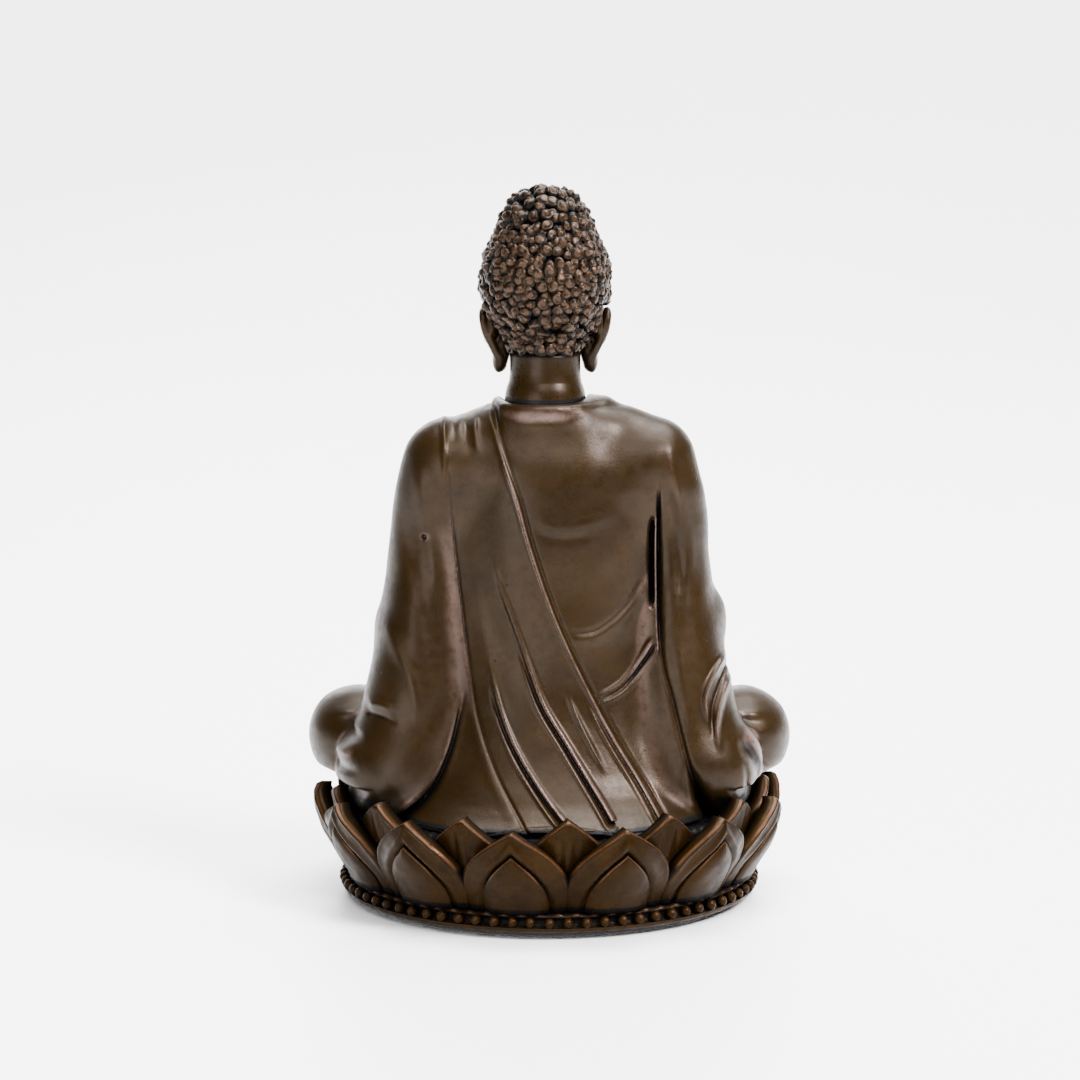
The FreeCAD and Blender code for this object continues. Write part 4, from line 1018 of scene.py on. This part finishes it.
def make_head():
    hx = HEAD[0]
    head = Field((-8.6, -7.6, 54.6), (9.6, 11.6, 85.0), 0.12)
    head.add(ball((hx, 2.6, 73.7), (7.2, 7.5, 8.0)))
    head.add(ball((hx, 2.8, 80.4), (4.5, 4.4, 3.9)), 2.6)
    head.add(ball((hx, 0.6, 70.2), (6.0, 5.7, 6.3)), 2.5)
    head.add(ball((hx, -0.9, 66.4), (3.9, 3.9, 3.0)), 2.0)
    neck = [
        (hx, 3.4, 57.4, 3.0), (hx, 3.4, 58.6, 4.2), (hx, 3.4, 59.4, 4.75), (hx, 3.35, 60.6, 4.4),
        (hx, 3.2, 62.6, 4.15), (hx, 3.0, 65.5, 4.2), (hx, 2.6, 69, 4.6),
    ]
    head.add(tube(neck, 4), 0.8)
    for side in (1, -1):
        def at(x, y, z, r):
            return (hx + side * x, y, z, r)
        head.add(ball((hx + side * 3.1, -2.6, 68.6), (2.3, 2.1, 2.3)), 1.6)
        head.cut(ball((hx + side * 2.75, -6.2, 71.4), (2.1, 1.15, 1.15)), 0.8)
        head.add(ball((hx + side * 2.7, -3.75, 71.2), (1.65, 1.25, 1.0)), 0.35)
        brow = [
            at(0.8, -5.45, 72.5, 0.22), at(2.4, -5.35, 73.5, 0.26), at(4.2, -4.55, 73.2, 0.22),
            at(5.4, -3.3, 72.2, 0.14),
        ]
        lashes = [
            at(1.15, -5.10, 71.0, 0.09), at(2.0, -5.15, 70.75, 0.11), at(3.0, -4.95, 70.72, 0.11),
            at(4.2, -4.05, 71.05, 0.08),
        ]
        lid = [
            at(1.3, -5.05, 71.5, 0.06), at(2.4, -5.0, 72.05, 0.07), at(3.6, -4.5, 71.9, 0.07),
            at(4.5, -3.8, 71.4, 0.05),
        ]
        head.add(tube(brow, 4), 0.5)
        head.cut(tube(lashes, 4), 0.15)
        head.cut(tube(lid, 4), 0.2)
        head.add(ball((hx + side * 0.72, -6.0, 69.0), (0.55, 0.62, 0.5)), 0.35)
        head.cut(ball((hx + side * 0.38, -6.55, 68.55), (0.20, 0.25, 0.16)), 0.1)
    nose = [(hx, -4.9, 73.0, 0.5), (hx, -5.6, 71.3, 0.5), (hx, -6.25, 69.8, 0.62), (hx, -6.45, 69.2, 0.66)]
    upper_lip = [
        (hx - 1.75, -4.3, 66.95, 0.16), (hx - 0.8, -5.15, 67.2, 0.36), (hx, -5.3, 67.1, 0.36),
        (hx + 0.8, -5.15, 67.2, 0.36), (hx + 1.75, -4.3, 66.95, 0.16),
    ]
    lower_lip = [(hx - 1.4, -4.3, 66.55, 0.2), (hx, -5.05, 66.3, 0.46), (hx + 1.4, -4.3, 66.55, 0.2)]
    mouth = [(hx - 1.9, -4.45, 66.9, 0.07), (hx, -5.6, 66.75, 0.12), (hx + 1.9, -4.45, 66.9, 0.07)]
    head.add(tube(nose, 3), 0.7)
    head.add(tube(upper_lip, 4), 0.3)
    head.add(tube(lower_lip, 4), 0.35)
    head.cut(tube(mouth, 4), 0.12)
    head.add(ball((hx, -3.6, 64.9), (1.5, 1.3, 1.2)), 1.2)
    head.add(ball((hx, -5.15, 74.9), (0.38, 0.34, 0.38)), 0.15)
    # Creases round the front of the neck.
    for z in (60.9, 62.6):
        arc = [
            (hx + 4.35 * math.sin(t), 3.35 - 4.3 * math.cos(t), z + 0.7 * (1 - math.cos(t)), 0.10)
            for t in np.linspace(-1.3, 1.3, 19)
        ]
        head.cut(tube(arc), 0.25)
    x, y, z = head.axes[0][:, None, None], head.axes[1][None, :, None], head.axes[2][None, None, :]
    head.f += 0.36 * step(-0.25, 0.25, z - hair_height(x, y))
    head.f = np.maximum(head.f, 54.9 - z)
    points, faces = surface(head)
    # Painted shade: the collar and a plane at the shoulders join the field the shade is sampled from.
    around = head.like()
    around.f = np.minimum(head.f, z - 57.9)
    around.add(tube(COLLAR))
    shade_and_patina, rub = shade_patina_and_wear(around, points, 0.8)
    # Painted shade: the scalp under the curls is darkened, as are the back of the neck under the hair and a
    # band just above the collar.
    in_hair = step(-0.1, 0.2, points[:, 2] - hair_height(points[:, 0], points[:, 1]))
    shade = 0.6 * step(63.6, 65.4, points[:, 2]) * step(2.0, 5.0, points[:, 1])
    shade = np.maximum(shade, step(60.3, 59.9, points[:, 2]))
    shade_and_patina = np.maximum(np.maximum(shade_and_patina, 0.9 * in_hair), shade)
    piece("head_cast", points, faces, "head", skin_metal, shade_and_patina, rub)
    make_ears()
    make_curls(head)


def hair_height(x, y):
    """Height of the hairline in each direction round the head."""
    forward = -(y - HEAD[1]) / np.maximum(np.hypot(x - HEAD[0], y - HEAD[1]), 0.3)
    return 65.2 + step(-0.35, 0.15, forward) * 5.6 + step(0.1, 0.72, forward) * 5.8


def make_ears():
    for side, name in ((1, "left"), (-1, "right")):
        cx = HEAD[0] + side * 6.3

        def at(x, y, z, r):
            return (cx + side * x, y, z, r)

        ear = Field((cx - 2.6, -1.6, 61.6), (cx + 2.6, 5.8, 72.4), 0.10)
        tilt = -side * 9
        ear.add(ball((cx, 2.3, 68.2), (0.95, 1.8, 2.2), tilt, "y"))
        ear.add(ball((cx - side * 1.15, 2.0, 64.9), (1.0, 1.2, 2.3), tilt, "y"), 0.9)
        rim = [
            at(-0.05, 0.6, 67.4, 0.30), at(0.55, 0.8, 69.2, 0.36), at(0.90, 2.3, 70.0, 0.42),
            at(0.95, 3.6, 69.3, 0.48), at(0.60, 3.7, 67.6, 0.50), at(-0.2, 3.1, 65.9, 0.50),
            at(-0.85, 2.8, 64.5, 0.52), at(-1.2, 1.9, 63.4, 0.52), at(-0.95, 0.9, 64.2, 0.38),
            at(-0.4, 0.7, 65.8, 0.30),
        ]
        ear.add(tube(rim, 4), 0.3)
        ear.cut(ball((cx + side * 1.05, 2.3, 68.2), (0.7, 0.95, 1.4)), 0.3)
        ear.cut(ball((cx - side * 0.15, 1.75, 64.7), (0.5, 0.36, 1.1)), 0.2)
        ear.add(tube([at(0.65, 1.5, 69.1, 0.2), at(0.7, 2.6, 68.3, 0.22), at(0.3, 2.2, 66.7, 0.2)], 4), 0.2)
        points, faces = surface(ear)
        shade_and_patina, rub = shade_patina_and_wear(ear, points, 0.8)
        # Painted shade on the side of each ear turned to the head.
        inner = step(0.6, -0.7, side * (points[:, 0] - cx))
        shade_and_patina = np.maximum(0.7 * shade_and_patina, 0.42 * inner)
        piece(f"ear_{name}", points, faces, f"{name}_ear", skin_metal, shade_and_patina, 0.6 * rub)


def curl_seats(head):
    """Places for the curls: uneven rows over the scalp, down to the hairline."""
    centre = np.array([HEAD[0], 2.7, 73.6])
    ways = []
    tilts = np.cumsum(np.linspace(8.4, 5.5, 25)) - 80
    for row, tilt in enumerate(np.radians(tilts[tilts < 88])):
        reach = 8.6 + 2.4 * max(0, math.sin(tilt))
        count = max(1, round(2 * math.pi * reach * math.cos(tilt) / 1.36))
        for k in range(count):
            turn = 2 * math.pi * (k + 0.5 * (row % 2) + random.normal(0, 0.17)) / count + 0.7 * row
            lift = tilt + random.normal(0, 0.032)
            ways.append((math.cos(lift) * math.cos(turn), math.cos(lift) * math.sin(turn), math.sin(lift)))
    ways = np.array(ways)
    near, far = np.full(len(ways), 3.0), np.full(len(ways), 12.4)
    for _ in range(20):
        mid = (near + far) / 2
        inside = head.sample(centre + ways * mid[:, None]) < 0
        near, far = np.where(inside, mid, near), np.where(inside, far, mid)
    seats = centre + ways * near[:, None]
    seats = seats[seats[:, 2] > hair_height(seats[:, 0], seats[:, 1]) + 0.15]
    by_ear = np.hypot((seats[:, 1] - 2.4) / 2.0, (seats[:, 2] - 69.0) / 2.4) < 1
    seats = seats[~(by_ear & (np.abs(seats[:, 0] - HEAD[0]) > 5.4))]
    nape = np.array([
        (HEAD[0] + 5.0 * math.sin(t), 2.9 + 5.0 * math.cos(t), 66.0 + random.normal(0, 0.14))
        for t in np.linspace(-1.15, 1.15, 10)
    ])
    nape -= head.normals(nape) * head.sample(nape)[:, None]
    return np.vstack([seats, nape])


def make_curls(head):
    """Snail curls, each a lopsided dome with a spiral groove."""
    seats = curl_seats(head)
    around, rings = 22, 9
    lon, t = np.meshgrid(
        np.linspace(0, 2 * math.pi, around, endpoint=False), np.linspace(1, 0, rings + 1)[:-1], indexing="ij"
    )
    per = around * rings + 2
    i, j = np.meshgrid(np.arange(around), np.arange(rings - 1), indexing="ij")
    k = (i + 1) % around
    quads = np.stack([i * rings + j, k * rings + j, k * rings + j + 1, i * rings + j + 1], -1).reshape(-1, 4)
    i = np.arange(around)
    k = (i + 1) % around
    caps = np.stack([i * rings + rings - 1, k * rings + rings - 1, np.full(around, per - 2)], -1)
    floors = np.stack([k * rings, i * rings, np.full(around, per - 1)], -1)
    one = quads.tolist() + caps.tolist() + floors.tolist()
    points, faces, shade_mask, rub = [], [], [], []
    for order, (at, n) in enumerate(zip(seats, head.normals(seats))):
        size = 0.84 * random.uniform(0.80, 1.14)
        tall = 0.92 * random.uniform(0.8, 1.2)
        spin, lump = random.uniform(0, 2 * math.pi, 2)
        hand = 1 if random.random() < 0.85 else -1
        wave = np.cos(hand * lon + spin - t * 1.7 * 2 * math.pi)
        groove = np.clip(wave - 0.15, 0, 1) * step(1.0, 0.8, t) * step(0.02, 0.25, t)
        lobed = 1 + 0.09 * np.cos(2 * lon + lump) + 0.05 * np.cos(3 * lon + 2 * lump)
        out = size * lobed * np.sin(t * math.pi / 2) ** 0.8
        up = tall * np.cos(t * math.pi / 2) ** 0.75 * (1 + 0.10 * np.cos(lon + lump)) - 0.20 * groove * size
        up = np.where(t > 0.99, -0.3, up)
        lean = n + random.normal(0, 0.10, 3)
        lean /= np.linalg.norm(lean)
        side = np.cross(lean, (0.2, 0.3, 1.0))
        side /= np.linalg.norm(side)
        other = np.cross(lean, side)
        dome = at + (out * np.cos(lon))[..., None] * side + (out * np.sin(lon))[..., None] * other
        dome = dome + up[..., None] * lean
        points.append(np.vstack([dome.reshape(-1, 3), at + lean * tall, at - lean * 0.35]))
        faces += [[order * per + v for v in face] for face in one]
        # Painted shade low on each curl, in its spiral groove and on its hidden floor.
        shade_mask.append(np.append((0.98 * step(0.42, 0.86, t) + 0.5 * groove).ravel(), [0.1, 1.0]))
        rub.append(np.append((0.30 * step(0.62, 0.3, t) * (1 - groove)).ravel(), [0.3, 0.0]))
    piece(
        "curls", np.vstack(points), faces, "hair_curls", hair_metal,
        np.concatenate(shade_mask), np.concatenate(rub),
    )


# ---------------------------------------------------------------- hands and feet
def make_hands():
    for side, name, palm_z in ((-1, "right", 23.9), (1, "left", 21.6)):
        hand = Field((-10.5, -17.5, 18.6), (10.5, -5.6, 28.2), 0.12)
        wrist = 24.6 if side < 0 else 22.9
        hand.add(tube([(side * 7.8, -8.4, wrist + 0.3, 1.5), (side * 5.2, -10.2, palm_z + 0.4, 1.35)]))
        hand.add(ball((side * 2.4, -11.3, palm_z), (3.6, 3.1, 1.15)), 1.0)
        hand.cut(ball((side * 1.8, -11.4, palm_z + 1.7), (2.6, 1.9, 1.1)), 0.6)
        for k in range(4):
            y = -9.5 - 1.32 * k
            lift = palm_z + 0.05 * k - 0.25
            length = (5.2, 6.0, 6.2, 5.4)[k]
            x0 = side * 0.4
            hand.add(
                tube([(x0, y, lift, 0.74), (x0 - side * length * 0.5, y - 0.1, lift - 0.12, 0.70),
                      (x0 - side * length, y + 0.05, lift + 0.35, 0.56)], 3), 0.22
            )
        hand.add(
            tube([(side * 3.9, -12.9, palm_z + 0.4, 0.95), (side * 2.3, -13.2, palm_z + 1.5, 0.80),
                  (side * 0.55, -12.8, (26.3 if side < 0 else 26.0), 0.60)], 4), 0.4
        )
        points, faces = surface(hand)
        shade_and_patina, rub = shade_patina_and_wear(hand, points, 0.8)
        piece(f"hand_{name}", points, faces, f"{name}_hand", skin_metal, shade_and_patina, rub)


def make_feet():
    for side, name in ((1, "left"), (-1, "right")):
        cx = -side * 11.6
        foot = Field((cx - 7.2, -15.6, 19.0), (cx + 7.2, -5.8, 26.0), 0.12)
        heel, toe = (cx + side * 4.4, -11.4), (cx - side * 3.6, -10.0)
        foot.add(tube([(*heel, 22.0, 1.55), (cx, -10.9, 22.3, 1.6), (*toe, 22.3, 1.85)], 3))
        foot.add(ball((cx - side * 2.6, -10.1, 22.4), (2.6, 2.5, 1.35)), 1.0)
        foot.cut(ball((cx + side * 0.4, -10.9, 24.6), (3.2, 1.3, 1.1)), 0.8)
        for k, r in enumerate((0.86, 0.62, 0.58, 0.54, 0.48)):
            y = -12.1 + 1.12 * k + (0.0 if k else -0.1)
            x = cx - side * (5.2 - 0.16 * k * k)
            foot.add(tube([(x + side * 1.4, y, 22.5, r), (x, y, 22.7, r)]), 0.2)
        points, faces = surface(foot)
        shade_and_patina, rub = shade_patina_and_wear(foot, points, 0.8)
        piece(f"foot_{name}", points, faces, f"{name}_foot", skin_metal, shade_and_patina, rub)


# ---------------------------------------------------------------- floor, light, camera
def make_stage():
    """A pale floor that curves up into a backdrop on the far side from the camera."""
    rows = []
    for t in np.linspace(0, 1, 60):
        if t < 0.5:
            rows.append((0.9 - 3.08 * t, 0.0))
        else:
            a = (t - 0.5) * math.pi
            rows.append((-0.64 - 0.5 * math.sin(a), 0.5 * (1 - math.cos(a)) + max(0, t - 0.9) * 8))
    points, faces = [], []
    for y, z in rows:
        points += [(-2.2, y, z), (2.2, y, z)]
    for i in range(len(rows) - 1):
        faces.append((2 * i, 2 * i + 1, 2 * i + 3, 2 * i + 2))
    mesh = bpy.data.meshes.new("sweep")
    mesh.from_pydata(points, [], faces)
    mesh.polygons.foreach_set("use_smooth", np.ones(len(faces), bool))
    material = bpy.data.materials.new("sweep")
    material.use_nodes = True
    shader = material.node_tree.nodes["Principled BSDF"]
    shader.inputs["Base Color"].default_value = (0.90, 0.90, 0.90, 1)
    shader.inputs["Roughness"].default_value = 0.45
    mesh.materials.append(material)
    floor = bpy.data.objects.new("sweep", mesh)
    bpy.context.scene.collection.objects.link(floor)


def lamp(name, at, target, size, watts, colour=(1, 1, 1)):
    light = bpy.data.lights.new(name, "AREA")
    light.shape, light.size, light.energy, light.color = "DISK", size, watts, colour
    obj = bpy.data.objects.new(name, light)
    obj.location = at
    obj.rotation_euler = (Vector(target) - Vector(at)).to_track_quat("-Z", "Y").to_euler()
    bpy.context.scene.collection.objects.link(obj)


def make_light_and_camera():
    middle = (0, 0, 0.04)
    lamp("key", (-0.46, 0.36, 0.56), middle, 0.26, 21.0, (1.0, 0.95, 0.98))
    lamp("fill", (0.36, 0.66, 0.12), (0, 0, 0.02), 0.45, 4.6, (0.97, 0.97, 1.0))
    lamp("softbox", (0.06, 0.62, 0.80), middle, 0.70, 12.0, (1.0, 0.99, 0.98))
    lamp("top", (-0.22, -0.12, 1.05), middle, 0.9, 40.0, (1.0, 1.0, 1.0))
    lamp("sweep_light", (0.0, -0.25, 0.95), (0, -1.1, 0.3), 0.8, 27.0)
    lamp("face", (0.1, -0.7, 0.35), middle, 0.45, 2.5)
    world = bpy.data.worlds.new("world")
    bpy.context.scene.world = world
    world.use_nodes = True
    world.node_tree.nodes["Background"].inputs["Color"].default_value = (0.95, 0.97, 1.0, 1)
    world.node_tree.nodes["Background"].inputs["Strength"].default_value = 0.13

    camera = bpy.data.cameras.new("camera")
    camera.sensor_width = 36
    camera.lens = 132.1
    camera.clip_start = 0.01
    obj = bpy.data.objects.new("camera", camera)
    obj.location = (0, 0.464, 0.1156)
    down, yaw = math.radians(8.96), 9.5 / 3963
    way = Vector((math.sin(yaw) * math.cos(down), -math.cos(yaw) * math.cos(down), -math.sin(down)))
    obj.rotation_euler = way.to_track_quat("-Z", "Y").to_euler()
    bpy.context.scene.collection.objects.link(obj)
    bpy.context.scene.camera = obj


make_foot()
make_lotus()
make_body()
make_head()
make_hands()
make_feet()
make_stage()
make_light_and_camera()
